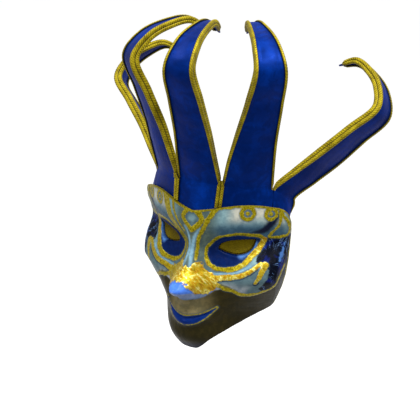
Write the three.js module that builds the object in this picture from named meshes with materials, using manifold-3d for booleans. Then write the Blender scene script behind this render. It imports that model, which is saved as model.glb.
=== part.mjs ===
// A jester's carnival mask: a hard face with a flared brow crest and a long nose, under an open velvet cap
// of five curling horns, edged in gold braid. Millimetres. +Z is up and the face looks along -Y. The origin
// is the middle of the rear rim, at the height of the eyes. +X is the wearer's left.
import * as THREE from "three";
import { mergeVertices } from "three/addons/utils/BufferGeometryUtils.js";
import Module from "manifold-3d";

// The face.
const FACE_WIDTH = 172; // across the rear rim
const CREST_RISE = 49; // brow crest above the eyes
const CHIN_DROP = 115; // chin below the eyes
const FACE_DEPTH = 62; // brow to the rear rim
const SHELL_WALL = 2.8;
const NOSE_TOP = 30; // where the nose starts, above the eyes
const NOSE_LENGTH = 92;
const NOSE_REACH = 42; // tip in front of the face
const NOSE_WIDTH = 48;
const SOCKET_DEPTH = 7;
const CHEEK_RELIEF = 4.5;
const TEMPLE_HOLLOW = 3;
const MOUTH_DROP = 69.5; // mouth line below the eyes
const MOUTH_WIDTH = 66;
const MOUTH_SMILE = 5; // how far the corners rise
const LIP_RELIEF = 4;
const CHIN_RELIEF = 3;
const FRONT_SHARE = 0.88; // of the way round from the middle to the rim, before the side wall
const CORNER_ROUND = 0.05; // of the same way, how far the corner is eased

// The eyes.
const EYE_SPACING = 79; // between their middles
const EYE_LIFT = 4.2; // middle of the eye above the origin
const EYE_WIDTH = 41;
const EYE_TILT = THREE.MathUtils.degToRad(15.7); // outer corner up
const EYE_TURN = THREE.MathUtils.degToRad(26); // each eye looks this far to its own side
const SCREEN_WALL = 1.2;
const SCREEN_LAP = 5; // screen past the opening
const SCREEN_GAP = 0.7; // behind the face

// The cap and its horns.
const BAND_TOP = 74; // cap band above the eyes, at the front
const CLOTH_WALL = 3;
const HORN_RISE = 151; // band to the top of a horn
const HORN_REACH = 38; // how far a horn leans out
const HORN_WIDTH = 50; // at its root
const HORN_THICK = 5.2; // padded horn, at its edges
const HORN_CROWN = 1.5; // fuller in the middle, each face
const BRAID_WALL = 1.3;
const BRAID_LAP = 2.6; // braid round onto each face
const SEAM_BRAID_WIDTH = 7.5;
const SEAM_LIFT = 0.5; // the seam braid stands off the rounded cloth
const PIECE_GAP = 0.4; // between one piece and the next
const BRAID_ROOM = BRAID_WALL + PIECE_GAP * 2; // left for the braid at each side of a horn
const BAND_SWELL = 0.075; // of a gore's width, how far the band rounds out
const TUCK_GAP = 0.9; // cap behind the crest
const BRAID_FOOT = 0.13; // of the way from the crest to the band's top, where the rear edge's braid starts
const BAND_SHOULDER = 0.8; // of the same way, where the band has come clear of the crest
const LAP_SHARE = 0.8; // of the first column of a horn, the most that a braid laps over

// How finely the surfaces are faceted.
const FACE_COLUMNS = 32;
const FACE_ROWS = 31;
const PANEL_COLUMNS = 6;
const SECTION_STEPS = 2;
const SCREEN_CELLS = 8;
const LID_STEPS = 9;
const SLOPE_REACH = 2; // either way, for the slope of the face at a place
const COLUMN_CROWDING = 1.3; // power that crowds the face's columns towards its middle

// Face sections. height: of the crest's rise above the eyes, or of the chin's drop below them. half: of
// half the face's width. rear and depth: of the face's depth. bend: power of the curve from the middle to
// the side wall, and wall: of the section's depth, how deep that wall is.
const FACE_SECTIONS = [
  { height: 1.02, half: 1.0, rear: -0.153, depth: 0.845, bend: 1.5, wall: 0.0 },
  { height: 0.61, half: 1.01, rear: -0.089, depth: 0.93, bend: 1.6, wall: 0.06 },
  { height: 0.3, half: 0.985, rear: -0.03, depth: 0.927, bend: 1.7, wall: 0.09 },
  { height: 0.03, half: 0.965, rear: 0.0, depth: 0.903, bend: 1.65, wall: 0.18 },
  { height: -0.14, half: 0.965, rear: 0.0, depth: 0.97, bend: 1.75, wall: 0.38 },
  { height: -0.27, half: 0.95, rear: 0.0, depth: 1.05, bend: 1.85, wall: 0.45 },
  { height: -0.36, half: 0.93, rear: 0.0, depth: 1.1, bend: 1.85, wall: 0.36 },
  { height: -0.52, half: 0.87, rear: 0.0, depth: 1.26, bend: 1.6, wall: 0.15 },
  { height: -0.68, half: 0.784, rear: 0.0, depth: 1.29, bend: 1.7, wall: 0.03 },
  { height: -0.84, half: 0.67, rear: -0.04, depth: 1.2, bend: 2.5, wall: 0.0 },
  { height: -1.0, half: 0.58, rear: -0.185, depth: 0.93, bend: 2.7, wall: 0.0 },
];

// Top and bottom edges. across: of the way from the middle to the rim. top: of the crest's rise. bottom: of
// the chin's drop.
const FACE_EDGES = [
  { across: 0.0, top: 0.882, bottom: 1.0 },
  { across: 0.18, top: 0.935, bottom: 0.98 },
  { across: 0.4, top: 0.996, bottom: 0.85 },
  { across: 0.58, top: 0.99, bottom: 0.78 },
  { across: 0.75, top: 0.91, bottom: 0.735 },
  { across: 0.84, top: 0.82, bottom: 0.72 },
  { across: 0.92, top: 0.58, bottom: 0.7 },
  { across: 1.0, top: 0.345, bottom: 0.69 },
];

// The nose. drop: of its length. reach: of its reach. half: of half its width.
const NOSE_SECTIONS = [
  { drop: 0.0, reach: 0.0, half: 0.25 },
  { drop: 0.196, reach: 0.19, half: 0.34 },
  { drop: 0.326, reach: 0.33, half: 0.44 },
  { drop: 0.435, reach: 0.43, half: 0.56 },
  { drop: 0.533, reach: 0.585, half: 0.72 },
  { drop: 0.598, reach: 0.85, half: 0.84 },
  { drop: 0.645, reach: 1.0, half: 0.92 },
  { drop: 0.703, reach: 0.88, half: 0.97 },
  { drop: 0.793, reach: 0.52, half: 1.0 },
  { drop: 0.891, reach: 0.2, half: 0.9 },
  { drop: 1.0, reach: 0.0, half: 0.75 },
];

// The rest of the relief. across and wide: of the face's width. drop and tall: of the chin's drop. Each is
// a soft mound with its middle at across and drop, that spreads by wide and tall.
const CHEEK = { across: 0.29, drop: 0.21, wide: 0.09, tall: 0.11 };
const TEMPLE = { across: 0.44, drop: -0.03, wide: 0.07, tall: 0.09 };
const CHIN = { across: 0, drop: 0.86, wide: 0.09, tall: 0.08 };

// The socket round each eye, below its middle by drop. All of the eye's width.
const SOCKET = { drop: 0.07, wide: 0.42, tall: 0.26 };

// The lips. away: above the mouth line, and spread: up and down, of their relief. full: how far they stand
// out.
const LIPS = [
  { away: 0.9, spread: 0.7, full: 0.8 },
  { away: -1.5, spread: 1.0, full: 1.1 },
];
const NOSE_POWER = 1.3; // how sharply the nose's ridge is rounded

// The eye's outline, from its inner corner along the lower lid and back along the upper one: the handles of
// its two curves. along: of its width, from its middle. up: of its height.
const EYE_LIDS = {
  lower: [
    { along: -0.1, up: -0.41 },
    { along: 0.42, up: -0.4 },
  ],
  upper: [
    { along: 0.0, up: 0.16 },
    { along: -0.42, up: 0.27 },
  ],
};

// A horn. up: of its rise. out: of its reach. half: of half its root width. thick: of its thickness.
const HORN_SECTIONS = [
  { up: 0.165, out: 0.17, half: 0.9, thick: 0.8 },
  { up: 0.334, out: 0.36, half: 0.8, thick: 1.0 },
  { up: 0.56, out: 0.7, half: 0.69, thick: 1.0 },
  { up: 0.777, out: 1.0, half: 0.585, thick: 1.0 },
  { up: 0.916, out: 0.54, half: 0.47, thick: 0.85 },
  { up: 0.985, out: -0.12, half: 0.33, thick: 0.7 },
  { up: 1.0, out: -0.73, half: 0.21, thick: 0.5 },
  { up: 0.918, out: -1.22, half: 0.04, thick: 0.2 },
];

// Seams of the cap. across: of half the face's width. back: of the face's depth. lift: of the band's
// height. tucked: where the seam meets the crest, of half the width. top and hem: the cap behind the crest,
// of the crest's rise.
const SEAMS = {
  inner: { across: 0.288, back: -0.73, lift: 0.96, tucked: 0.256, top: 0.9, hem: 0.45 },
  outer: { across: 0.797, back: -0.22, lift: 0.865, tucked: 0.74, top: 0.86, hem: 0.4 },
  rear: { across: 0.953, back: 0.19, lift: 0.61, tucked: 0.985, top: 0.42, hem: 0.22 },
};

// Horn seats. across, forward and lift: of half the face's width, the face's depth and the band's height.
// turn: away from the front. splay: over to its own side. lean: further out. reach: of the horns' common
// reach. settled: of the rise, where the horn has turned from the band to its own way.
const UPRIGHT = { splay: 0, lean: 0, reach: 1, settled: 0.777 };
const SPLAYED = { splay: 32, lean: 15.5, reach: 0.92, settled: 0.334 };
const HORN_SEATS = {
  centre: { across: 0, forward: 0.766, lift: 1.0, turn: 0, ...UPRIGHT },
  inner: { across: 0.61, forward: 0.34, lift: 0.98, turn: 40, ...UPRIGHT },
  outer: { across: 0.936, forward: -0.218, lift: 0.666, turn: 75, ...SPLAYED },
};

const velvet = new THREE.MeshStandardMaterial({ color: 0x0a2f8c, roughness: 0.75 });
const gilt = new THREE.MeshStandardMaterial({ color: 0xa08a18, roughness: 0.45, metalness: 0.6 });
const paint = new THREE.MeshStandardMaterial({ color: 0x9fb4c4, roughness: 0.4 });

// Rows of a gore: three behind the crest, one at the braid's foot, one at the band's shoulder, then the
// band's top.
const CREST_ROW = 3;
const BAND_ROW = 5;

const wasm = await Module();
wasm.setup();

// A smooth value between the rows of a table, which is sorted by one column, up or down.
function between(rows, key, value, column) {
  const rising = rows[rows.length - 1][key] > rows[0][key];
  const ahead = rising ? (row) => row[key] >= value : (row) => row[key] <= value;
  let i = rows.findIndex(ahead);
  if (i < 0) return rows[rows.length - 1][column];
  if (i === 0) return rows[0][column];
  const [a, b] = [rows[i - 1], rows[i]];
  const slope = (j) => {
    const [p, q] = [rows[Math.max(j - 1, 0)], rows[Math.min(j + 1, rows.length - 1)]];
    return (q[column] - p[column]) / (q[key] - p[key]);
  };
  const span = b[key] - a[key];
  const t = (value - a[key]) / span;
  return (
    a[column] * (1 + 2 * t) * (1 - t) ** 2 +
    slope(i - 1) * span * t * (1 - t) ** 2 +
    b[column] * t * t * (3 - 2 * t) +
    slope(i) * span * t * t * (t - 1)
  );
}

const bell = (distance, spread) => Math.exp(-(distance * distance) / (2 * spread * spread));
const halfFace = FACE_WIDTH / 2;

const mound = ({ across, drop, wide, tall }, x, z) =>
  bell(x - across * FACE_WIDTH, wide * FACE_WIDTH) * bell(z + drop * CHIN_DROP, tall * CHIN_DROP);

// The carved relief of the face at a place across and up it: positive stands out.
function relief(x, z) {
  const side = Math.abs(x);
  const drop = (NOSE_TOP - z) / NOSE_LENGTH;
  let out = 0;
  if (drop > 0 && drop < 1) {
    const half = (between(NOSE_SECTIONS, "drop", drop, "half") * NOSE_WIDTH) / 2;
    const reach = between(NOSE_SECTIONS, "drop", drop, "reach") * NOSE_REACH;
    if (side < half) out += reach * Math.cos((side / half) * (Math.PI / 2)) ** NOSE_POWER;
  }
  const low = EYE_LIFT - z - SOCKET.drop * EYE_WIDTH;
  const off = side - EYE_SPACING / 2;
  out -= SOCKET_DEPTH * bell(off, SOCKET.wide * EYE_WIDTH) * bell(low, SOCKET.tall * EYE_WIDTH);
  out += CHEEK_RELIEF * mound(CHEEK, side, z) + CHIN_RELIEF * mound(CHIN, side, z);
  out -= TEMPLE_HOLLOW * mound(TEMPLE, side, z);
  const along = (2 * side) / MOUTH_WIDTH;
  if (along < 1) {
    const line = -MOUTH_DROP + MOUTH_SMILE * along * along;
    const taper = Math.sqrt(1 - along * along);
    for (const { away, spread, full } of LIPS)
      out += LIP_RELIEF * full * taper * bell(z - line - LIP_RELIEF * away, LIP_RELIEF * spread);
  }
  return out;
}

// The face's outer surface. across runs from -1 at the right rim to 1 at the left rim, and the side walls
// take the last of it.
function sharpFace(across, z) {
  const height = z > 0 ? z / CREST_RISE : z / CHIN_DROP;
  const row = (column) => between(FACE_SECTIONS, "height", height, column);
  const front = THREE.MathUtils.clamp(across / FRONT_SHARE, -1, 1);
  const x = front * row("half") * halfFace;
  const wall = row("wall");
  const sunk = Math.max((Math.abs(across) - FRONT_SHARE) / (1 - FRONT_SHARE), 0);
  const curve = wall * (1 - sunk) + (1 - wall) * (1 - Math.abs(front) ** row("bend"));
  return new THREE.Vector3(x, (row("rear") - row("depth") * curve) * FACE_DEPTH - relief(x, z), z);
}

function facePoint(across, z) {
  const reach = Math.min(CORNER_ROUND, 1 - Math.abs(across));
  const ends = sharpFace(across - reach, z).add(sharpFace(across + reach, z));
  return sharpFace(across, z).multiplyScalar(2).add(ends).divideScalar(4);
}

// How far across the face a place on its front lies.
const acrossAt = (x) => (x / halfFace) * FRONT_SHARE;

// A point sunk into the face from its outer surface, square to it.
function sunkFace(across, z, depth) {
  const ahead = Math.min(across + CORNER_ROUND, 1);
  const behind = Math.max(across - CORNER_ROUND, -1);
  const wide = facePoint(ahead, z).sub(facePoint(behind, z));
  const tall = facePoint(across, z + SLOPE_REACH).sub(facePoint(across, z - SLOPE_REACH));
  const inward = tall.cross(wide).normalize();
  return facePoint(across, z).addScaledVector(inward, depth);
}

// A closed body between two grids of points, front and back, with the same rows and columns.
function slab(front, back) {
  const rows = front.length;
  const columns = front[0].length;
  const points = [...front.flat(), ...back.flat()];
  const at = (side, r, c) => side * rows * columns + r * columns + c;
  const faces = [];
  const quad = (a, b, c, d) => faces.push(a, b, c, a, c, d);
  for (let r = 0; r < rows - 1; r++)
    for (let c = 0; c < columns - 1; c++) {
      quad(at(0, r, c), at(0, r, c + 1), at(0, r + 1, c + 1), at(0, r + 1, c));
      quad(at(1, r, c), at(1, r + 1, c), at(1, r + 1, c + 1), at(1, r, c + 1));
    }
  for (let r = 0; r < rows - 1; r++) {
    quad(at(0, r, 0), at(0, r + 1, 0), at(1, r + 1, 0), at(1, r, 0));
    quad(at(0, r, columns - 1), at(1, r, columns - 1), at(1, r + 1, columns - 1), at(0, r + 1, columns - 1));
  }
  for (let c = 0; c < columns - 1; c++) {
    quad(at(0, 0, c), at(1, 0, c), at(1, 0, c + 1), at(0, 0, c + 1));
    quad(at(0, rows - 1, c), at(0, rows - 1, c + 1), at(1, rows - 1, c + 1), at(1, rows - 1, c));
  }
  return indexed(points, faces);
}

// A closed body swept through sections, each a ring of points.
function tube(rings) {
  const size = rings[0].length;
  const points = rings.flat();
  const faces = [];
  for (let r = 0; r < rings.length - 1; r++)
    for (let c = 0; c < size; c++) {
      const [a, b] = [r * size + c, r * size + ((c + 1) % size)];
      faces.push(a, b, b + size, a, b + size, a + size);
    }
  const flat = THREE.ShapeUtils.triangulateShape(ringOutline(rings[0]), []);
  const last = (rings.length - 1) * size;
  for (const [a, b, c] of flat) faces.push(a, c, b, last + a, last + b, last + c);
  return indexed(points, faces);
}

// A ring of points as an outline in its own plane.
function ringOutline(ring) {
  const middle = ring.reduce((sum, p) => sum.add(p), new THREE.Vector3()).divideScalar(ring.length);
  const normal = new THREE.Vector3();
  ring.forEach((p, i) => {
    const q = ring[(i + 1) % ring.length];
    normal.add(p.clone().sub(middle).cross(q.clone().sub(middle)));
  });
  const right = ring[1].clone().sub(ring[0]).normalize();
  const up = normal.normalize().cross(right);
  return ring.map((p) => new THREE.Vector2(p.clone().sub(middle).dot(right), p.clone().sub(middle).dot(up)));
}

// A geometry from points and faces, turned to face out.
function indexed(points, faces) {
  let volume = 0;
  for (let i = 0; i < faces.length; i += 3) {
    const [a, b, c] = faces.slice(i, i + 3).map((j) => points[j]);
    volume += a.dot(b.clone().cross(c));
  }
  const turned = volume < 0 ? faces.toReversed() : faces;
  const geometry = new THREE.BufferGeometry().setFromPoints(points);
  geometry.setIndex(turned);
  return geometry;
}

// A geometry with its shared vertices merged and nothing but their positions left.
function indexedFrom(geometry) {
  const bare = new THREE.BufferGeometry().setAttribute("position", geometry.getAttribute("position"));
  bare.setIndex(geometry.index);
  return mergeVertices(bare, 1e-4);
}

function toSolid(geometry) {
  const merged = indexedFrom(geometry);
  const vertProperties = new Float32Array(merged.attributes.position.array);
  const triVerts = new Uint32Array(merged.index.array);
  return new wasm.Manifold(new wasm.Mesh({ numProp: 3, vertProperties, triVerts }));
}

function toGeometry(solid) {
  const mesh = solid.getMesh();
  const geometry = new THREE.BufferGeometry();
  geometry.setAttribute("position", new THREE.BufferAttribute(mesh.vertProperties, 3));
  geometry.setIndex(new THREE.BufferAttribute(mesh.triVerts, 1));
  return geometry;
}

// The almond outline of an eye, as seen square on, grown by a margin.
function eyeOutline(margin) {
  const shape = new THREE.Shape();
  const wide = EYE_WIDTH + 2 * margin;
  const tall = wide + margin;
  const handles = (lid) => lid.flatMap(({ along, up }) => [along * wide, up * tall]);
  shape.moveTo(-wide / 2, 0);
  shape.bezierCurveTo(...handles(EYE_LIDS.lower), wide / 2, 0);
  shape.bezierCurveTo(...handles(EYE_LIDS.upper), -wide / 2, 0);
  return shape;
}

// Where the left eye sits: its x runs outward along the face, its y up, its z out of the face.
function eyeFrame() {
  const out = new THREE.Vector3(Math.sin(EYE_TURN), -Math.cos(EYE_TURN), 0);
  const along = new THREE.Vector3(Math.cos(EYE_TURN), Math.sin(EYE_TURN), 0);
  const up = new THREE.Vector3(0, 0, 1);
  const tilt = new THREE.Matrix4().makeRotationZ(EYE_TILT);
  const place = new THREE.Matrix4().makeBasis(along, up, out).multiply(tilt);
  const x = EYE_SPACING / 2;
  const surface = facePoint(acrossAt(x), EYE_LIFT);
  return place.setPosition(x, surface.y, EYE_LIFT);
}

// The left eye's outline as a prism through the face.
function eyePrism(margin) {
  const depth = (FACE_DEPTH * 2) / 3;
  const cut = { depth, bevelEnabled: false, curveSegments: LID_STEPS };
  const prism = new THREE.ExtrudeGeometry(eyeOutline(margin), cut);
  prism.translate(0, 0, -depth / 2);
  return prism.applyMatrix4(eyeFrame());
}

// Evenly numbered places over a span, as shares from 0 to 1.
const shares = (count) => Array.from({ length: count + 1 }, (_, i) => i / count);

function faceGrid(depth) {
  const columns = shares(FACE_COLUMNS).map((s) => {
    const t = 2 * s - 1;
    return Math.sign(t) * Math.abs(t) ** COLUMN_CROWDING;
  });
  return shares(FACE_ROWS).map((row) =>
    columns.map((across) => {
      const top = between(FACE_EDGES, "across", Math.abs(across), "top") * CREST_RISE;
      const bottom = -between(FACE_EDGES, "across", Math.abs(across), "bottom") * CHIN_DROP;
      return sunkFace(across, THREE.MathUtils.lerp(top, bottom, row), depth);
    }),
  );
}

function faceShell() {
  const eye = indexedFrom(eyePrism(0));
  const shell = toSolid(slab(faceGrid(0), faceGrid(SHELL_WALL)));
  return toGeometry(shell.subtract(toSolid(eye)).subtract(toSolid(mirrored(eye))));
}

// A sheet behind the left eye, cut to the eye's outline plus its lap.
function eyeScreen() {
  const reach = EYE_WIDTH / 2 + SCREEN_LAP;
  const middle = EYE_SPACING / 2;
  const grid = (depth) =>
    shares(SCREEN_CELLS).map((row) =>
      shares(SCREEN_CELLS).map((column) => {
        const x = middle + (2 * column - 1) * reach;
        return sunkFace(acrossAt(x), EYE_LIFT + (1 - 2 * row) * reach, depth);
      }),
    );
  const near = SHELL_WALL + SCREEN_GAP;
  const sheet = toSolid(slab(grid(near), grid(near + SCREEN_WALL)));
  return toGeometry(sheet.intersect(toSolid(indexedFrom(eyePrism(SCREEN_LAP)))));
}

// Directions of a horn: out of its face, up its length and across its width.
function hornAxes(seat) {
  const turn = THREE.MathUtils.degToRad(seat.turn);
  const splay = THREE.MathUtils.degToRad(seat.splay);
  const out = new THREE.Vector3(Math.sin(turn), -Math.cos(turn), 0);
  const flat = new THREE.Vector3(Math.cos(turn), Math.sin(turn), 0);
  const rise = new THREE.Vector3(0, 0, 1);
  const up = rise.clone().multiplyScalar(Math.cos(splay)).addScaledVector(flat, Math.sin(splay));
  const wide = flat.clone().multiplyScalar(Math.cos(splay)).addScaledVector(rise, -Math.sin(splay));
  const lean = THREE.MathUtils.degToRad(seat.lean);
  up.applyAxisAngle(wide, lean);
  out.applyAxisAngle(wide, lean);
  return { out, up, wide };
}

const placed = (across, back, lift) =>
  new THREE.Vector3(across * halfFace, back * FACE_DEPTH, lift * BAND_TOP);

// A gore of the cap and its horn, as rows of points on its outer face, from the hem behind the crest to the
// tip. Each row has its thickness, and how full it is padded from 0 to 1. near and far are its seams.
function goreRows(seat, near, far) {
  const columns = shares(PANEL_COLUMNS);
  const { out, up, wide } = hornAxes(seat);
  const seatAt = placed(seat.across, -seat.forward, seat.lift);
  const inset = (row, room) => {
    const length = row[0].distanceTo(row[PANEL_COLUMNS]);
    const cut = room / length;
    const shift = (s) => {
      const place = (cut + s * (1 - 2 * cut)) * PANEL_COLUMNS;
      const i = Math.min(Math.floor(place), PANEL_COLUMNS - 1);
      return row[i].clone().lerp(row[i + 1], place - i);
    };
    return columns.map(shift);
  };
  const tucked = (level) =>
    columns.map((s) => {
      const across = THREE.MathUtils.lerp(near.tucked, far.tucked, s);
      const low = THREE.MathUtils.lerp(near.hem, far.hem, s);
      const high = THREE.MathUtils.lerp(near.top, far.top, s);
      return sunkFace(across, THREE.MathUtils.lerp(low, high, level) * CREST_RISE, SHELL_WALL + TUCK_GAP);
    });
  const nearAt = placed(near.across, near.back, near.lift);
  const farAt = placed(far.across, far.back, far.lift);
  const middle = nearAt.clone().lerp(farAt, 0.5);
  const swell = out.clone().multiplyScalar(nearAt.distanceTo(farAt) * BAND_SWELL * 4);
  const band = columns.map((s) => nearAt.clone().lerp(farAt, s).addScaledVector(swell, s * (1 - s)));
  const rising = (level) => band.map((p, i) => tucked(1)[i].lerp(p, level));
  const horn = HORN_SECTIONS.map((row) => {
    const blend = Math.min(row.up / seat.settled, 1);
    const settle = blend * blend * (3 - 2 * blend);
    const reach = row.out * seat.reach * HORN_REACH;
    const rise = up.clone().multiplyScalar(row.up * HORN_RISE).addScaledVector(out, reach);
    const own = columns.map((s) =>
      seatAt.clone().add(rise).addScaledVector(wide, ((2 * s - 1) * row.half * HORN_WIDTH) / 2),
    );
    const points = band.map((p, i) => middle.clone().lerp(p, row.half).add(rise).lerp(own[i], settle));
    return { points: inset(points, BRAID_ROOM * row.half), thick: row.thick * HORN_THICK, full: row.thick };
  });
  const cloth = (points, room) => ({ points: inset(points, room), thick: CLOTH_WALL, full: 0 });
  const seamRoom = PIECE_GAP;
  return [
    cloth(tucked(0), seamRoom),
    cloth(tucked(0.5), seamRoom),
    cloth(tucked(1), seamRoom),
    cloth(rising(BRAID_FOOT), seamRoom),
    cloth(rising(BAND_SHOULDER), seamRoom),
    cloth(band, BRAID_ROOM),
    ...horn,
  ];
}

// Rows with smooth ones added between, and the faces of the body they make: front and back, row by row.
function gore(rows) {
  const last = rows.length - 1;
  const curves = columnsOf(rows.map((row) => row.points)).map(
    (points) => new THREE.CatmullRomCurve3(points, false, "centripetal"),
  );
  const count = last * SECTION_STEPS;
  const front = shares(count).map((s) => curves.map((curve) => curve.getPoint(s)));
  const mix = (column, s) => {
    const i = Math.min(Math.floor(s * last), last - 1);
    return THREE.MathUtils.lerp(rows[i][column], rows[i + 1][column], s * last - i);
  };
  const inward = front.map((row, r) =>
    row.map((_, c) => {
      const wide = row[Math.min(c + 1, PANEL_COLUMNS)].clone().sub(row[Math.max(c - 1, 0)]);
      const tall = front[Math.min(r + 1, count)][c].clone().sub(front[Math.max(r - 1, 0)][c]);
      return wide.cross(tall).normalize().negate();
    }),
  );
  const crowned = (face) =>
    front.map((row, r) =>
      row.map((p, c) => {
        const [thick, full] = [mix("thick", r / count), mix("full", r / count)];
        const crown = HORN_CROWN * full * (1 - ((2 * c) / PANEL_COLUMNS - 1) ** 2);
        return p.clone().addScaledVector(inward[r][c], face === "front" ? -crown : thick + crown);
      }),
    );
  return { front: crowned("front"), back: crowned("back") };
}

const columnsOf = (rows) => rows[0].map((_, c) => rows.map((row) => row[c]));

// A braid round one side edge of a horn: a channel whose lips lap onto its two faces. from is the row it
// starts at.
function edgeBraid({ front, back }, edge, from) {
  const next = edge === 0 ? 1 : PANEL_COLUMNS - 1;
  const near = PIECE_GAP;
  const far = PIECE_GAP + BRAID_WALL;
  const rings = front.slice(from).map((row, i) => {
    const [a, b] = [row[edge], back[from + i][edge]];
    const deep = b.clone().sub(a).normalize();
    const aside = a.clone().sub(row[next]);
    aside.addScaledVector(deep, -aside.dot(deep)).normalize();
    const lap = Math.min(BRAID_LAP, a.distanceTo(row[next]) * LAP_SHARE);
    const lip = (corner, inner) => corner.clone().addScaledVector(inner.clone().sub(corner).normalize(), lap);
    const [frontLip, backLip] = [lip(a, row[next]), lip(b, back[from + i][next])];
    const at = (point, side, depth) =>
      point.clone().addScaledVector(aside, side).addScaledVector(deep, depth);
    return [
      at(frontLip, 0, -near),
      at(frontLip, 0, -far),
      at(a, far, -far),
      at(b, far, far),
      at(backLip, 0, far),
      at(backLip, 0, near),
      at(b, near, near),
      at(a, near, -near),
    ];
  });
  return tube(rings);
}

// A double braid laid over a seam of the band, from the crest up to the crotch of two horns, where it laps
// over the feet of their edge braids.
function seamBraid(leftGore, rightGore, first, last) {
  const half = SEAM_BRAID_WIDTH / 2;
  const rings = shares(last - first).map((s) => {
    const r = Math.round(first + s * (last - first));
    const low = PIECE_GAP + (r === last ? BRAID_WALL + PIECE_GAP * 2 : SEAM_LIFT);
    const a = leftGore.front[r][0];
    const b = rightGore.front[r][PANEL_COLUMNS];
    const wide = leftGore.front[r][1].clone().sub(rightGore.front[r][PANEL_COLUMNS - 1]).normalize();
    const tall = leftGore.front[r + 1][0].clone().sub(leftGore.front[r - 1][0]);
    const out = wide.clone().cross(tall).normalize();
    if (out.y > 0) out.negate();
    const middle = a.clone().lerp(b, 0.5);
    const at = (side, lift) => middle.clone().addScaledVector(wide, side).addScaledVector(out, lift);
    return [at(-half, low), at(-half, low + BRAID_WALL), at(half, low + BRAID_WALL), at(half, low)];
  });
  return tube(rings);
}

function mirrored(geometry) {
  const flipped = geometry.clone();
  flipped.scale(-1, 1, 1);
  const index = Array.from(flipped.index.array);
  flipped.setIndex(index.toReversed());
  return flipped;
}

const group = new THREE.Group();

function add(name, geometry, material) {
  const mesh = new THREE.Mesh(geometry, material);
  mesh.name = name;
  group.add(mesh);
}

// A piece on the left, and its mirror image on the right.
function addPair(name, geometry, material) {
  add(`${name}_left`, geometry, material);
  add(`${name}_right`, mirrored(geometry), material);
}

const rightSeam = { ...SEAMS.inner, across: -SEAMS.inner.across, tucked: -SEAMS.inner.tucked };
const centre = gore(goreRows(HORN_SEATS.centre, rightSeam, SEAMS.inner));
const inner = gore(goreRows(HORN_SEATS.inner, SEAMS.inner, SEAMS.outer));
const outer = gore(goreRows(HORN_SEATS.outer, SEAMS.outer, SEAMS.rear));
const bandRow = BAND_ROW * SECTION_STEPS;
const crestRow = CREST_ROW * SECTION_STEPS;

add("face_shell", faceShell(), paint);
addPair("eye_screen", eyeScreen(), gilt);
add("horn_centre", slab(centre.front, centre.back), velvet);
addPair("horn_inner", slab(inner.front, inner.back), velvet);
addPair("horn_outer", slab(outer.front, outer.back), velvet);
addPair("braid_centre", edgeBraid(centre, PANEL_COLUMNS, bandRow), gilt);
addPair("braid_inner_near", edgeBraid(inner, 0, bandRow), gilt);
addPair("braid_inner_far", edgeBraid(inner, PANEL_COLUMNS, bandRow), gilt);
addPair("braid_outer_near", edgeBraid(outer, 0, bandRow), gilt);
addPair("braid_outer_far", edgeBraid(outer, PANEL_COLUMNS, crestRow + 1), gilt);
addPair("seam_braid", seamBraid(inner, centre, crestRow, bandRow), gilt);

export default group;
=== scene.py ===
"""The looks of a carnival jester mask: a painted papier-mache face under a velvet cap of five horns."""

import math

import bpy
import numpy as np
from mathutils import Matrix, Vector
from mathutils.kdtree import KDTree


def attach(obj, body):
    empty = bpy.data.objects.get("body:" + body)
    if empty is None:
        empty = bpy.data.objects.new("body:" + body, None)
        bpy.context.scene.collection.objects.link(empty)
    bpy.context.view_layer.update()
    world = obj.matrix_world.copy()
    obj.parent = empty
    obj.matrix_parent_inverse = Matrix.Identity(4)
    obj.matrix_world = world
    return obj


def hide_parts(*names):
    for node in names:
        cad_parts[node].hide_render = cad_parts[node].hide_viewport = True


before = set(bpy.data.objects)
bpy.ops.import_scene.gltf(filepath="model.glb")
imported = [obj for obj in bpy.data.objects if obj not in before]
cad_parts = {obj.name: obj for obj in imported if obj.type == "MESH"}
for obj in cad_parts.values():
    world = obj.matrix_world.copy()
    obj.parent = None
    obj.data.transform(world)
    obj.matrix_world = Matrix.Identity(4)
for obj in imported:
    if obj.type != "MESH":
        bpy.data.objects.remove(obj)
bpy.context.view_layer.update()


def table(columns, *rows):
    """A short table as one array for each named column."""
    return {column: np.array([row[i] for row in rows], float) for i, column in enumerate(columns)}


# The face. Millimetres, as the solids are made.
FACE_WIDTH = 172
CREST_RISE = 49
CHIN_DROP = 115
FACE_DEPTH = 62
SHELL_WALL = 2.8
NOSE_TOP = 30
NOSE_LENGTH = 92
NOSE_REACH = 42
NOSE_WIDTH = 48
NOSE_POWER = 1.3
SOCKET_DEPTH = 7
CHEEK_RELIEF = 4.5
TEMPLE_HOLLOW = 3
MOUTH_DROP = 69.5
MOUTH_WIDTH = 66
MOUTH_SMILE = 5
LIP_RELIEF = 4
CHIN_RELIEF = 3
FRONT_SHARE = 0.88
CORNER_ROUND = 0.05
SLOPE_REACH = 2
EYE_SPACING = 79
EYE_LIFT = 4.2
EYE_WIDTH = 41
EYE_TILT = math.radians(15.7)
EYE_TURN = math.radians(26)
SCREEN_WALL = 1.2
SCREEN_LAP = 5
SCREEN_GAP = 0.7
HALF_FACE = FACE_WIDTH / 2

# The cap and its horns.
BAND_TOP = 74
CLOTH_WALL = 3
HORN_RISE = 151
HORN_REACH = 38
HORN_WIDTH = 50
HORN_THICK = 5.2
HORN_CROWN = 1.5
BRAID_WALL = 1.3
BRAID_LAP = 1.0
SEAM_BRAID_WIDTH = 7.5
SEAM_LIFT = 0.5
PIECE_GAP = 0.4
BRAID_ROOM = BRAID_WALL + PIECE_GAP * 2
BAND_SWELL = 0.075
BAND_SHOULDER = 0.8
TUCK_GAP = 0.9
BRAID_FOOT = 0.13
CREST_ROW = 3
BAND_ROW = 5

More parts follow.
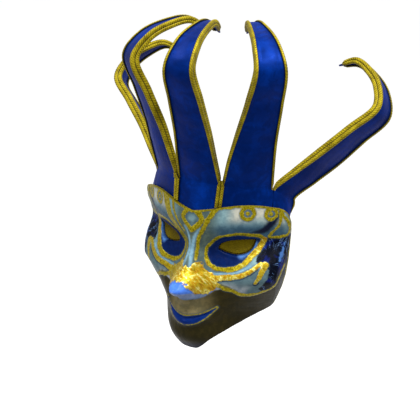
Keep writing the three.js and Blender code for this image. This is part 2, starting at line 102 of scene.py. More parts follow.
# Face sections. height: of the crest's rise above the eyes, or of the chin's drop below them. half: of half
# the face's width. rear and depth: of the face's depth. bend: power of the curve from the middle to the side
# wall. wall: of the section's depth, how deep that wall is.
FACE_SECTIONS = table(
    ("height", "half", "rear", "depth", "bend", "wall"),
    (1.02, 1.0, -0.153, 0.845, 1.5, 0.0),
    (0.61, 1.01, -0.089, 0.93, 1.6, 0.06),
    (0.3, 0.985, -0.03, 0.927, 1.7, 0.09),
    (0.03, 0.965, 0.0, 0.903, 1.65, 0.18),
    (-0.14, 0.965, 0.0, 0.97, 1.75, 0.38),
    (-0.27, 0.95, 0.0, 1.05, 1.85, 0.45),
    (-0.36, 0.93, 0.0, 1.1, 1.85, 0.36),
    (-0.52, 0.87, 0.0, 1.26, 1.6, 0.15),
    (-0.68, 0.784, 0.0, 1.29, 1.7, 0.03),
    (-0.84, 0.67, -0.04, 1.2, 2.5, 0.0),
    (-1.0, 0.58, -0.185, 0.93, 2.7, 0.0),
)

# Top and bottom edges. across: of the way from the middle to the rim. top: of the crest's rise. bottom: of
# the chin's drop.
FACE_EDGES = table(
    ("across", "top", "bottom"),
    (0.0, 0.882, 1.0),
    (0.18, 0.935, 0.98),
    (0.4, 0.996, 0.85),
    (0.58, 0.99, 0.78),
    (0.75, 0.91, 0.735),
    (0.84, 0.82, 0.72),
    (0.92, 0.58, 0.7),
    (1.0, 0.345, 0.69),
)

# The nose. drop: of its length. reach: of its reach. half: of half its width.
NOSE_SECTIONS = table(
    ("drop", "reach", "half"),
    (0.0, 0.0, 0.25),
    (0.196, 0.19, 0.34),
    (0.326, 0.33, 0.44),
    (0.435, 0.43, 0.56),
    (0.533, 0.585, 0.72),
    (0.598, 0.85, 0.84),
    (0.645, 1.0, 0.92),
    (0.703, 0.88, 0.97),
    (0.793, 0.52, 1.0),
    (0.891, 0.2, 0.9),
    (1.0, 0.0, 0.75),
)

# Soft mounds of the relief. across and wide: of the face's width. drop and tall: of the chin's drop.
CHEEK = dict(across=0.29, drop=0.21, wide=0.09, tall=0.11)
TEMPLE = dict(across=0.44, drop=-0.03, wide=0.07, tall=0.09)
CHIN = dict(across=0, drop=0.86, wide=0.09, tall=0.08)
SOCKET = dict(drop=0.07, wide=0.42, tall=0.26)
LIPS = (dict(away=0.9, spread=0.7, full=0.8), dict(away=-1.5, spread=1.0, full=1.1))

# The handles of the eye's two curves, from its inner corner and back. along: of its width. up: of its height.
EYE_LIDS = (((-0.1, -0.41), (0.42, -0.4)), ((0.0, 0.16), (-0.42, 0.27)))

# A horn. up: of its rise. out: of its reach. half: of half its root width. thick: of its thickness.
HORN_SECTIONS = table(
    ("up", "out", "half", "thick"),
    (0.165, 0.17, 0.9, 0.8),
    (0.334, 0.36, 0.8, 1.0),
    (0.56, 0.7, 0.69, 1.0),
    (0.777, 1.0, 0.585, 1.0),
    (0.916, 0.54, 0.47, 0.85),
    (0.985, -0.12, 0.33, 0.7),
    (1.0, -0.73, 0.21, 0.5),
    (0.918, -1.22, 0.04, 0.2),
)

# Seams of the cap. across: of half the face's width. back: of the face's depth. lift: of the band's height.
# tucked: where the seam meets the crest, of half the width. top and hem: of the crest's rise, how high and
# how low the cap reaches behind it.
SEAMS = {
    "inner": dict(across=0.288, back=-0.73, lift=0.96, tucked=0.256, top=0.9, hem=0.45),
    "outer": dict(across=0.797, back=-0.22, lift=0.865, tucked=0.74, top=0.86, hem=0.4),
    "rear": dict(across=0.953, back=0.19, lift=0.61, tucked=0.985, top=0.42, hem=0.22),
}

# Horn seats. across, forward and lift: of half the face's width, the face's depth and the band's height.
UPRIGHT = dict(splay=0, lean=0, reach=1, settled=0.777)
SPLAYED = dict(splay=32, lean=15.5, reach=0.92, settled=0.334)
HORN_SEATS = {
    "centre": dict(across=0, forward=0.766, lift=1.0, turn=0, **UPRIGHT),
    "inner": dict(across=0.61, forward=0.34, lift=0.98, turn=40, **UPRIGHT),
    "outer": dict(across=0.936, forward=-0.218, lift=0.666, turn=75, **SPLAYED),
}


def between(rows, key, value, column):
    """A smooth value between the rows of a table, which is sorted by one column."""
    keys, values = rows[key], rows[column]
    if keys[-1] < keys[0]:
        keys, values = keys[::-1], values[::-1]
    slopes = np.gradient(values)
    slopes[1:-1] = (values[2:] - values[:-2]) / (keys[2:] - keys[:-2])
    slopes[0] = (values[1] - values[0]) / (keys[1] - keys[0])
    slopes[-1] = (values[-1] - values[-2]) / (keys[-1] - keys[-2])
    value = np.clip(value, keys[0], keys[-1])
    i = np.clip(np.searchsorted(keys, value), 1, len(keys) - 1)
    span = keys[i] - keys[i - 1]
    t = (value - keys[i - 1]) / span
    start = values[i - 1] * (1 + 2 * t) * (1 - t) ** 2 + slopes[i - 1] * span * t * (1 - t) ** 2
    return start + values[i] * t * t * (3 - 2 * t) + slopes[i] * span * t * t * (t - 1)


def bell(distance, spread):
    return np.exp(-(distance**2) / (2 * spread**2))


def mound(form, x, z):
    across = bell(x - form["across"] * FACE_WIDTH, form["wide"] * FACE_WIDTH)
    return across * bell(z + form["drop"] * CHIN_DROP, form["tall"] * CHIN_DROP)


def relief(x, z):
    """How far the carved face stands out at a place across and up it."""
    side = np.abs(x)
    drop = (NOSE_TOP - z) / NOSE_LENGTH
    half = between(NOSE_SECTIONS, "drop", drop, "half") * NOSE_WIDTH / 2
    reach = between(NOSE_SECTIONS, "drop", drop, "reach") * NOSE_REACH
    ridge = np.cos(np.clip(side / half, 0, 1) * math.pi / 2) ** NOSE_POWER
    out = np.where((drop > 0) & (drop < 1), reach * ridge, 0)
    low = EYE_LIFT - z - SOCKET["drop"] * EYE_WIDTH
    off = side - EYE_SPACING / 2
    out = out - SOCKET_DEPTH * bell(off, SOCKET["wide"] * EYE_WIDTH) * bell(low, SOCKET["tall"] * EYE_WIDTH)
    out = out + CHEEK_RELIEF * mound(CHEEK, side, z) + CHIN_RELIEF * mound(CHIN, side, z)
    out = out - TEMPLE_HOLLOW * mound(TEMPLE, side, z)
    along = np.clip(2 * side / MOUTH_WIDTH, 0, 1)
    line = -MOUTH_DROP + MOUTH_SMILE * along**2
    taper = np.sqrt(1 - along**2)
    for lip in LIPS:
        out = out + LIP_RELIEF * lip["full"] * taper * bell(
            z - line - LIP_RELIEF * lip["away"], LIP_RELIEF * lip["spread"]
        )
    return out


def sharp_face(across, z):
    """The face's outer surface. across runs from -1 at the right rim to 1 at the left one."""
    height = np.where(z > 0, z / CREST_RISE, z / CHIN_DROP)
    row = {column: between(FACE_SECTIONS, "height", height, column) for column in FACE_SECTIONS}
    front = np.clip(across / FRONT_SHARE, -1, 1)
    x = front * row["half"] * HALF_FACE
    sunk = np.maximum((np.abs(across) - FRONT_SHARE) / (1 - FRONT_SHARE), 0)
    curve = row["wall"] * (1 - sunk) + (1 - row["wall"]) * (1 - np.abs(front) ** row["bend"])
    y = (row["rear"] - row["depth"] * curve) * FACE_DEPTH - relief(x, z)
    return np.stack([x, y, z], -1)


def face_point(across, z):
    reach = np.minimum(CORNER_ROUND, 1 - np.abs(across))
    ends = sharp_face(across - reach, z) + sharp_face(across + reach, z)
    return (sharp_face(across, z) * 2 + ends) / 4


def unit(v):
    return v / np.maximum(np.linalg.norm(v, axis=-1, keepdims=True), 1e-9)


def face_inward(across, z):
    """The direction into the face, square to its surface."""
    wide = face_point(np.minimum(across + CORNER_ROUND, 1), z) - face_point(
        np.maximum(across - CORNER_ROUND, -1), z
    )
    tall = face_point(across, z + SLOPE_REACH) - face_point(across, z - SLOPE_REACH)
    return unit(np.cross(tall, wide))


def sunk_face(across, z, depth):
    across, z = np.broadcast_arrays(np.asarray(across, float), np.asarray(z, float))
    return face_point(across, z) + face_inward(across, z) * depth


def face_top(across):
    return between(FACE_EDGES, "across", np.abs(across), "top") * CREST_RISE


def face_bottom(across):
    return -between(FACE_EDGES, "across", np.abs(across), "bottom") * CHIN_DROP


def turned(v, axis, angle):
    """A vector turned about a unit axis."""
    return (
        v * math.cos(angle)
        + np.cross(axis, v) * math.sin(angle)
        + axis * np.dot(axis, v) * (1 - math.cos(angle))
    )


def horn_axes(seat):
    """Directions of a horn: out of its face, up its length and across its width."""
    turn, splay, lean = (math.radians(seat[k]) for k in ("turn", "splay", "lean"))
    out = np.array([math.sin(turn), -math.cos(turn), 0.0])
    flat = np.array([math.cos(turn), math.sin(turn), 0.0])
    rise = np.array([0.0, 0.0, 1.0])
    up = rise * math.cos(splay) + flat * math.sin(splay)
    wide = flat * math.cos(splay) - rise * math.sin(splay)
    return turned(out, wide, lean), turned(up, wide, lean), wide


def placed(across, back, lift):
    return np.array([across * HALF_FACE, back * FACE_DEPTH, lift * BAND_TOP])


def inset(row, room):
    """A row of points drawn in by some room at each end."""
    cut = room / np.linalg.norm(row[-1] - row[0])
    last = len(row) - 1
    place = (cut + np.linspace(0, 1, len(row)) * (1 - 2 * cut)) * last
    i = np.minimum(place.astype(int), last - 1)
    return row[i] + (row[i + 1] - row[i]) * (place - i)[:, None]


def lerp(a, b, t):
    return a + (b - a) * t


def gore_rows(seat, near, far, columns):
    """Rows of points on a gore's outer face, from the hem to the tip, and how thick and full each is."""
    s = np.linspace(0, 1, columns + 1)
    out, up, wide = horn_axes(seat)
    seat_at = placed(seat["across"], -seat["forward"], seat["lift"])

    def tucked(level):
        low = lerp(near["hem"], far["hem"], s)
        high = lerp(near["top"], far["top"], s)
        z = lerp(low, high, level) * CREST_RISE
        return sunk_face(lerp(near["tucked"], far["tucked"], s), z, SHELL_WALL + TUCK_GAP)

    near_at = placed(near["across"], near["back"], near["lift"])
    far_at = placed(far["across"], far["back"], far["lift"])
    middle = (near_at + far_at) / 2
    swell = out * np.linalg.norm(far_at - near_at) * BAND_SWELL * 4
    band = lerp(near_at, far_at, s[:, None]) + swell * (s * (1 - s))[:, None]
    rows = [inset(tucked(level), PIECE_GAP) for level in (0, 0.5, 1)]
    rows += [inset(lerp(tucked(1), band, level), PIECE_GAP) for level in (BRAID_FOOT, BAND_SHOULDER)]
    rows.append(inset(band, BRAID_ROOM))
    thick = [CLOTH_WALL] * len(rows)
    full = [0.0] * len(rows)
    sections = zip(*(HORN_SECTIONS[k] for k in ("up", "out", "half", "thick")))
    for row_up, row_out, half, row_thick in sections:
        blend = min(row_up / seat["settled"], 1)
        settle = blend * blend * (3 - 2 * blend)
        rise = up * row_up * HORN_RISE + out * row_out * seat["reach"] * HORN_REACH
        own = seat_at + rise + wide * ((2 * s - 1) * half * HORN_WIDTH / 2)[:, None]
        points = lerp(lerp(middle, band, half) + rise, own, settle)
        rows.append(inset(points, BRAID_ROOM * half))
        thick.append(row_thick * HORN_THICK)
        full.append(row_thick)
    return np.array(rows), np.array(thick), np.array(full)


def smooth_rows(rows, steps):
    """Rows with smooth ones added between, on centripetal Catmull-Rom curves through each column."""
    first, last = 2 * rows[0] - rows[1], 2 * rows[-1] - rows[-2]
    p = np.concatenate([first[None], rows, last[None]])
    gap = np.maximum(np.linalg.norm(p[1:] - p[:-1], axis=-1, keepdims=True) ** 0.5, 1e-4)
    found = []
    for i in range(len(rows) - 1):
        before, here, after = gap[i], gap[i + 1], gap[i + 2]
        a, b, c, d = p[i : i + 4]
        start = ((b - a) / before - (c - a) / (before + here) + (c - b) / here) * here
        end = ((c - b) / here - (d - b) / (here + after) + (d - c) / after) * here
        for t in np.arange(steps) / steps:
            cubic = 2 * b - 2 * c + start + end
            square = -3 * b + 3 * c - 2 * start - end
            found.append(b + start * t + square * t**2 + cubic * t**3)
    return np.array(found + [rows[-1]])


def gore_faces(rows, thick, full, steps):
    """A gore's front and back faces, padded, as grids of points."""
    front = smooth_rows(rows, steps)
    count = len(front)
    at = np.linspace(0, len(rows) - 1, count)
    thick = np.interp(at, np.arange(len(rows)), thick)
    full = np.interp(at, np.arange(len(rows)), full)
    wide = np.gradient(front, axis=1)
    tall = np.gradient(front, axis=0)
    inward = -unit(np.cross(wide, tall))
    across = np.linspace(-1, 1, front.shape[1])
    crown = HORN_CROWN * full[:, None] * (1 - across**2)
    return front - inward * crown[..., None], front + inward * (thick[:, None] + crown)[..., None]


def across_at(x):
    """How far across the face a place on its front lies."""
    return x / HALF_FACE * FRONT_SHARE


def bezier(points, steps):
    t = np.linspace(0, 1, steps + 1)[:-1, None]
    a, b, c, d = (np.array(p, float) for p in points)
    return a * (1 - t) ** 3 + 3 * b * t * (1 - t) ** 2 + 3 * c * t**2 * (1 - t) + d * t**3


def eye_outline(margin, steps):
    """The almond outline of an eye, as seen square on, grown by a margin."""
    wide = EYE_WIDTH + 2 * margin
    tall = wide + margin
    inner, outer = (-wide / 2, 0), (wide / 2, 0)
    lower, upper = ([(a * wide, u * tall) for a, u in lid] for lid in EYE_LIDS)
    return np.concatenate([bezier([inner, *lower, outer], steps), bezier([outer, *upper, inner], steps)])


def eye_frame():
    """Where the left eye sits, and its axes: along the face, up it and out of it."""
    out = np.array([math.sin(EYE_TURN), -math.cos(EYE_TURN), 0])
    flat = np.array([math.cos(EYE_TURN), math.sin(EYE_TURN), 0])
    rise = np.array([0, 0, 1.0])
    along = flat * math.cos(EYE_TILT) + rise * math.sin(EYE_TILT)
    up = rise * math.cos(EYE_TILT) - flat * math.sin(EYE_TILT)
    x = EYE_SPACING / 2
    origin = np.array([x, face_point(np.array(across_at(x)), np.array(EYE_LIFT))[1], EYE_LIFT])
    return origin, along, up, out


def edge_distance(points, outline, closed=True):
    """Distance from each flat point to an outline, below zero inside it where it is closed."""
    start = outline if closed else outline[:-1]
    end = np.roll(outline, -1, 0) if closed else outline[1:]
    nearest = np.full(len(points), np.inf)
    inside = np.zeros(len(points), bool)
    for a, b in zip(start, end):
        span, from_a = b - a, points - a
        share = np.clip(from_a @ span / max(span @ span, 1e-9), 0, 1)
        nearest = np.minimum(nearest, np.linalg.norm(from_a - share[:, None] * span, axis=1))
        crosses = (a[1] > points[:, 1]) != (b[1] > points[:, 1])
        if closed and a[1] != b[1]:
            reach = a[0] + (points[:, 1] - a[1]) * (b[0] - a[0]) / (b[1] - a[1])
            inside ^= crosses & (points[:, 0] < reach)
    return np.where(inside, -nearest, nearest)


# The painted ornament, for the left half and mirrored, apart from gold lines marked LEFT or RIGHT. Each point
# is its place around the face from the middle and its place up it, in millimetres. All were chosen one by
# one, and for about half of them a program turned the place in the photograph into the one on the face. In
# GOLD_LINES comes how wide the gold is at the first point and at the last, and on which half it is.
AROUND = HALF_FACE / FRONT_SHARE
LEFT, RIGHT, BOTH = 1, -1, 0
BRIDGE_LINE = [
    (23.5, 46.7), (19.5, 40.4), (16, 33.5), (11.9, 24.3), (7.4, 15.1), (5.9, 7), (6.1, -0.3), (6.8, -8),
]
RIGHT_BRIDGE_LINE = [
    (39.5, 48), (35.2, 37.5), (31.3, 29.2), (26.4, 22.7), (19.7, 15.8), (13.5, 8.4), (7.6, 3.5), (6.1, -2),
    (6.8, -8),
]
RIGHT_STRAND = [(27, 47), (25.5, 40), (22, 33), (17.5, 26), (12, 17)]
EYE_ARCH = [
    (12.9, -5.2), (13.1, 1), (18, 7.3), (24.8, 13.8), (34, 16.2), (43.2, 17.6), (52.2, 15.9), (60, 14.1),
    (64.5, 10.2),
]
SOCKET_RIM = [
    (12.9, -5.2), (14.5, -10.1), (18.8, -15.7), (25.8, -19), (31.1, -19.1), (39.1, -19), (46.1, -17.5),
    (52.2, -14.3), (55.9, -10), (58.4, -5.8), (61.8, -2.1), (63.3, 2.4), (65.3, 8.6),
]
FIERY_BAND = [
    (22, -29.5), (28.5, -28.4), (37.9, -26.3), (47.9, -25.3), (54.7, -23.3), (61.2, -19.8), (65.5, -16.3),
    (68.8, -14.3),
]
FLECK = [(72.6, -15.9), (72.2, -19), (71.2, -23), (69.8, -27.6), (68, -32.5)]
CHEEK_EDGE = [
    (31.3, -35.4), (38.7, -38.9), (46.1, -40.9), (52.8, -45.7), (59.4, -48.8), (67.4, -49.5), (75.1, -47.6),
    (81.9, -43.9), (86, -40.1), (89.5, -33.2), (91.1, -26.4), (93.4, -22.8),
]
LEAF = [
    (78, 41.2), (80.9, 34.7), (88.9, 20.3), (87.6, 11.7), (77, 9.8), (69.2, 11.2), (73.9, 19.5), (77.2, 24.7),
    (78, 33.6), (78, 41.2),
]
LOZENGE = [(0, 22.5), (7, 29), (10.5, 36), (5.5, 43.5)]
GOLD_LINES = [
    (BRIDGE_LINE, 5.4, 3.4, LEFT),
    (RIGHT_BRIDGE_LINE, 12.0, 4.5, RIGHT),
    (RIGHT_STRAND, 4.0, 2.5, RIGHT),
    (EYE_ARCH, 3.2, 4.2, BOTH),
    (SOCKET_RIM, 3.6, 6.4, BOTH),
    (FIERY_BAND, 6.6, 4.0, BOTH),
    (FLECK, 7.4, 3.4, BOTH),
    (CHEEK_EDGE, 4.2, 4.0, BOTH),
    (LEAF, 3.0, 3.0, BOTH),
    (LOZENGE, 5.4, 5.0, BOTH),
]
ROSETTES = [((51.4, 41.2), 8.2), ((70.4, 38.6), 7.2)]
ROSETTE_RINGS = [(0.78, 3.6), (0.12, 2.6)]
NOSE_LEAF = [
    (-4, -9), (3.7, -14.9), (6.8, -10.4), (10.8, -12.7), (17.2, -19.7), (27, -26), (30, -33), (28.5, -39.5),
    (23.1, -43.9), (14.5, -40.6), (13.7, -33.4), (9.2, -26.8), (3.9, -23), (-4, -24),
]
NOSE_FOOT = [(-8, -49), (4.5, -48.7), (13.5, -48.5), (20.7, -46.9), (28.3, -41.2)]
NOSE_TIP = [
    (-8, -25.4), (-1.2, -22), (9.6, -24.4), (13.7, -33.4), (14.5, -37.5), (22.7, -42.2), (29.9, -38.4),
    *NOSE_FOOT[::-1],
]
TEMPLE_FIELD = [
    (66.6, 9.5), (65.1, -0.7), (63.3, -7.7), (62.9, -11.9), (70.4, -16.6), (77.4, -20.5), (78.4, -29.2),
    (74.3, -36.2), (70.6, -42.6), *CHEEK_EDGE[6:], (104, -20), (104, 10.5), (87.8, 10.5), (77, 9.8),
]
LOWER_FIELD = [*NOSE_FOOT, *CHEEK_EDGE[1:], (104, -20), (104, -130), (-4, -130)]
LIPS_FIELD = [
    (-8, -66.9), (0, -68.2), (8, -67.7), (19.2, -66.4), (28, -63.4), (34.8, -60.6), (31, -66), (22, -73.6),
    (13, -77.2), (0, -78.8), (-8, -78.4),
]
PALE_LINE = [(24, -24.5), (39, -22.8), (48, -21.2), (58, -16.4), (66, -9), (70, -2), (74, 4)]
DARK_LINE = [(30, -31.6), (39, -29.4), (48, -28.4), (55, -26.6), (62, -23.4), (67, -19)]
STREAK = [(8, 24), (3.2, 13), (1.8, 4), (2.6, -5), (4.2, -13)]
EYE_GLINT = [(47.3, -7.5), (53, -4), (57.6, 3.8)]
HOOK = [(70.5, -33), (68.4, -35.6), (66.4, -34.6), (66.8, -32.6)]
TEMPLE_HIGHLIGHT = [(84.6, 2), (85.4, -8), (84, -16)]
SHADOW_SWOOSH = [
    (82, 46), (78.8, 39.8), (75.4, 36.6), (72.5, 31.6), (69.4, 26.1), (66, 21.5), (60, 18.9), (53, 18.2),
    (44, 18.5),
]
HILL = [(30, -33), (36, -34), (42, -36), (47, -38.5), (52, -43.5), (46, -42.5), (38, -39.5)]
LOZENGE_FIELD = [(-1, 22), (9, 33), (6, 45), (-1, 45)]
MOUTH_SLIT = [(-8, -71.2), (0, -71.3), (12, -70.6), (24, -67.6), (33, -62)]
TOP_GOLD = 3.0
SIDE_GOLD = 2.2
FAR = 60.0  # a distance from which a line leaves no mark

# Paint colours, as linear values. paint_face also lays some of them as painted light and shade.
PAINT = {
    "white": (0.225, 0.22, 0.18),
    "teal": (0.095, 0.155, 0.165),
    "slate": (0.018, 0.045, 0.07),
    "bridge": (0.044, 0.062, 0.052),
    "cyan": (0.1, 0.18, 0.23),
    "royal": (0.0003, 0.005, 0.036),
    "sky": (0.0385, 0.099, 0.253),
    "cheek": (0.042, 0.07, 0.078),
    "pearl": (0.187, 0.198, 0.209),
    "navy": (0.0012, 0.0028, 0.012),
    "tip": (0.034, 0.095, 0.34),
    "underside": (0.105, 0.13, 0.21),
    "bronze": (0.0125, 0.0098, 0.0026),
    "lit_fawn": (0.072, 0.058, 0.026),
    "lips": (0.0005, 0.009, 0.07),
    "olive": (0.066, 0.0578, 0.0066),
}


BATCH = 20000  # places measured at once, to spare memory


def smooth_line(points, step=0.5):
    """A smooth line through flat points, in short even steps."""
    points = np.array(points, float)
    p = np.concatenate([[2 * points[0] - points[1]], points, [2 * points[-1] - points[-2]]])
    found = []
    for i in range(len(points) - 1):
        a, b, c, d = p[i : i + 4]
        count = max(int(np.linalg.norm(c - b) / step), 2)
        t = (np.arange(count) / count)[:, None]
        found.append(
            0.5 * (2 * b + (c - a) * t + (2 * a - 5 * b + 4 * c - d) * t**2 + (3 * b - a - 3 * c + d) * t**3)
        )
    return np.concatenate(found + [points[-1:]])


def on_face(flat):
    """The place on the face's surface of flat points, around it and up it."""
    return face_point(np.clip(flat[:, 0] / AROUND, -1, 1), flat[:, 1])


def line_distance(places, flat):
    """How far each place lies from a painted line, and the nearest point's share of the way along it."""
    line = on_face(flat)
    nearest = np.full(len(places), np.inf)
    share = np.zeros(len(places))
    for first in range(0, len(places), BATCH):
        part = places[first : first + BATCH]
        squares = (part**2).sum(1)[:, None] + (line**2).sum(1)[None] - 2 * part @ line.T
        best = squares.argmin(1)
        nearest[first : first + BATCH] = np.sqrt(np.maximum(squares[np.arange(len(part)), best], 0))
        share[first : first + BATCH] = best / (len(line) - 1)
    return nearest, share


def ripple(places, size, seed, count=7):
    """A soft random swell over places, of about the given wavelength, from -1 to 1."""
    found = np.zeros(len(places))
    chance = np.random.default_rng(seed)
    for _ in range(count):
        way = unit(chance.normal(size=3)) * 2 * math.pi / (size * chance.uniform(0.7, 1.5))
        found += np.sin(places @ way + chance.uniform(0, 2 * math.pi))
    return found / count**0.5 / 1.4


def rise_over(value, start, end):
    """From 0 before the start to 1 past the end, smoothly."""
    t = np.clip((value - start) / (end - start), 0, 1)
    return t * t * (3 - 2 * t)


def fall_over(value, start, end):
    return 1 - rise_over(value, start, end)


def paint_face(places, around, up):
    """The paint at places on the face: its colour, with some painted light and shade, how far it is from
    gold, how fiery that gold is, and how much of the marbled temple shows."""
    side = np.abs(around)
    flat = np.stack([side, up], 1)
    mirrored = places.copy()
    mirrored[:, 0] = np.where(around < 0, -places[:, 0], places[:, 0])
    warp = ripple(places, 9, 11) * 0.35 + ripple(places, 3.5, 12) * 0.25
    gold = np.full(len(places), FAR)
    heat = np.zeros(len(places))

    def from_line(points):
        return line_distance(mirrored, smooth_line(points))[0]

    def from_field(points):
        return edge_distance(flat, np.array(points, float))

    def gild(distance, width):
        nonlocal gold
        gold = np.minimum(gold, distance - width / 2 + warp)

    for line, start, end, half in GOLD_LINES:
        distance, share = line_distance(mirrored, smooth_line(line))
        distance = np.where(around * half < 0, FAR, distance)
        gild(distance, start + (end - start) * share)
        if line is FIERY_BAND:
            heat = np.maximum(heat, fall_over(distance, 3, 7))
        if line is SOCKET_RIM:
            heat = np.maximum(heat, fall_over(distance, 2, 5) * rise_over(share, 0.45, 0.9) * 0.75)
        if line is FLECK:
            heat = np.maximum(heat, fall_over(distance, 2, 6) * 0.6)
    below_top = face_top(around / AROUND) - up
    gild(np.abs(below_top), TOP_GOLD)
    gild(np.abs(AROUND - side), SIDE_GOLD)
    rosettes = np.zeros(len(places))
    for middle, radius in ROSETTES:
        distance = np.linalg.norm(mirrored - on_face(np.array([middle])), axis=1)
        for ring, width in ROSETTE_RINGS:
            gild(np.abs(distance - radius * ring), width)
        rosettes = np.maximum(rosettes, fall_over(distance, radius * 0.7, radius * 1.25))
    leaf = from_field(NOSE_LEAF) + warp * 2.5
    gold = np.minimum(gold, leaf)
    # On the right half the fiery gold is dulled: painted shade on that side.
    heat = np.maximum(heat, fall_over(leaf, 0, 5)) * (1 - 0.65 * rise_over(-around, 6, 22))

    colour = {name: np.array(value) for name, value in PAINT.items()}
    paint = np.tile(colour["teal"], (len(places), 1))

    def lay(name, share):
        nonlocal paint
        paint = paint + (colour[name] - paint) * np.clip(share, 0, 1)[:, None]

    # The brow and the bridge of the nose.
    swell = ripple(places, 26, 21)
    # Paler toward the crest's top edge and darker under it: partly airbrushed paint, partly painted light on
    # the top and painted shade under the flared crest.
    lay("white", rise_over(22 - below_top + swell * 4, 0, 12) * rise_over(side, 30, 44))
    lay("slate", rise_over(below_top + swell * 3, 11, 27) * rise_over(up, 5, 12))
    lay("bridge", fall_over(side + swell * 2, 14, 30))
    # A navy swoosh of painted shadow beside the leaf, under the crest's flared end.
    shadow_swoosh, share = line_distance(mirrored, smooth_line(SHADOW_SWOOSH))
    wide = 1.6 + 3.4 * np.sin(math.pi * np.clip(share * 1.25, 0, 1))
    lay("navy", fall_over(shadow_swoosh + warp, wide * 0.4, wide * 1.5) * (1 - rise_over(share, 0.6, 1) * 0.8))
    lay("teal", rise_over(side, 79, 83) * rise_over(up, 10, 20) * 0.7)
    lay("cyan", fall_over(from_line(STREAK) + warp, 0.6, 3.2) * 0.9)
    lay("cheek", fall_over(from_field(LOZENGE_FIELD), -1, 1))
    lay("teal", fall_over(np.hypot(side, up - 35.5), 2, 6) * 0.7)
    lay("slate", rosettes * 0.85)

    # The eye sockets and the cheeks.
    socket = np.concatenate([smooth_line(SOCKET_RIM, 3), smooth_line(EYE_ARCH, 3)[::-1]])
    inside = edge_distance(flat, socket)
    lay("royal", fall_over(inside, -0.6, 0.6))
    # A pale painted highlight in the socket, along the outer lower lid.
    lay("sky", fall_over(from_line(EYE_GLINT) + warp, 0, 5.5) * (inside < 1))
    below = (up < -15) & (inside > 0)
    lay("cheek", rise_over(-up, 17, 21) * (inside > 0))
    lay("pearl", rise_over(-up, 29, 40) * rise_over(swell + (55 - side) / 12, -0.3, 1.2) * below)
    lay("cyan", fall_over(from_line(PALE_LINE) + warp, 0.5, 2.2) * below)
    lay("navy", fall_over(from_line(DARK_LINE) + warp, 0.2, 1.3) * 0.9)
    lay("olive", fall_over(from_field(HILL) + warp * 2, -0.8, 1.6))

    # The temples.
    temple = from_field(TEMPLE_FIELD) + warp
    lay("navy", fall_over(temple, -0.5, 0.8))
    # A pale painted highlight down the temple where the front turns into the side wall; the marbling fades
    # under it.
    corner_highlight = from_line(TEMPLE_HIGHLIGHT) + warp * 3
    lay("sky", fall_over(corner_highlight, 0, 4) * (temple < 0) * 0.6)
    lay("navy", fall_over(from_line(HOOK), 0.5, 1.3))

    # The tip of the nose, the bare lower face and the lips.
    tip = fall_over(from_field(NOSE_TIP) + warp, -0.8, 0.8)
    lay("tip", tip)
    lay("underside", tip * rise_over(-up - 29.5 - 0.6 * side, -1, 1.5))
    # Darker at the foot of the nose tip: painted shade under the nose.
    lay("slate", tip * rise_over(-up, 41, 49) * 0.6)
    lower = fall_over(from_field(LOWER_FIELD), -0.9, 0.9)
    lay("bronze", lower)
    # Lighter in the middle of the lower face above the mouth: painted light on the upper lip.
    lay("lit_fawn", lower * fall_over(side + swell * 3, 12, 36) * (up > -74))
    # Darker towards the chin's bottom edge and the jaw's side walls: painted shade.
    lay("navy", rise_over(-up + swell * 2, 99, 112) * 0.85)
    lay("navy", rise_over(side, 84, 97) * lower * 0.8)
    lips = edge_distance(flat, smooth_line(LIPS_FIELD, 1))
    lay("lips", fall_over(lips, -0.3, 0.3))
    gold = np.where(lips < 0.1, np.maximum(gold, 1), gold)
    gold = np.minimum(gold, np.abs(lips - 0.55) - 0.4)
    marble = np.clip(-temple, -3, 3) - 4 * fall_over(corner_highlight, 0, 3)
    return paint, gold, heat, marble


SCALE = 0.001
FLAT_SCALE = 100  # millimetres of a piece laid out flat to one unit of its layout
BACK_SHIFT = 0.6  # how far from a horn's front its back is laid out
SMOOTH_ANGLE = 50
GRID_SAMPLES = 400
MEASURED_HEIGHTS = (30.0, 5.0, -20.0, -32.0, -45.0, -70.0)
MEASURED_PLACES = (0.0, 0.08, 0.16, 0.35, 0.6)
GOLD_RAISE = 0.35
LID_RISE = 0.9
LID_SPREAD = 1.1
LID_PAINT = 2.5
LID_STEPS = 24
CUT_STEPS = 40
MOUTH_SINK = 0.9
MOUTH_SPREAD = 0.7
NOSTRIL = dict(side=9.5, drop=52, wide=4.2, tall=3.4, deep=1.3)
GAUZE_SWELL = 2.3  # how far the gauze stands forward in the opening


def grid_faces(rows, columns, start=0, flip=False):
    r, c = np.meshgrid(np.arange(rows - 1), np.arange(columns - 1), indexing="ij")
    first = start + r * columns + c
    quads = np.stack([first, first + 1, first + columns + 1, first + columns], -1).reshape(-1, 4)
    return quads[:, ::-1] if flip else quads


def new_object(name, points, faces, smooth_angle=SMOOTH_ANGLE):
    """A mesh from points in millimetres and faces, turned to face out."""
    mesh = bpy.data.meshes.new(name)
    mesh.from_pydata((np.asarray(points) * SCALE).tolist(), [], [list(map(int, f)) for f in faces])
    mesh.calc_loop_triangles()
    corners = np.zeros(len(mesh.loop_triangles) * 3, np.int32)
    mesh.loop_triangles.foreach_get("vertices", corners)
    a, b, c = (np.asarray(points)[corners.reshape(-1, 3)[:, i]] for i in range(3))
    volume = (a * np.cross(b, c)).sum()
    if volume < 0:
        mesh.flip_normals()
    mesh.polygons.foreach_set("use_smooth", [True] * len(mesh.polygons))
    mesh.set_sharp_from_angle(angle=math.radians(smooth_angle))
    piece = bpy.data.objects.new(name, mesh)
    bpy.context.scene.collection.objects.link(piece)
    return piece


def store(piece, name, values):
    """Keeps a number or a colour for each of a piece's points."""
    values = np.asarray(values, np.float32)
    mesh = piece.data
    if values.ndim == 1:
        mesh.attributes.new(name, "FLOAT", "POINT").data.foreach_set("value", values)
    else:
        rgba = np.concatenate([values, np.ones((len(values), 1), np.float32)], 1)
        mesh.attributes.new(name, "FLOAT_COLOR", "POINT").data.foreach_set("color", rgba.ravel())


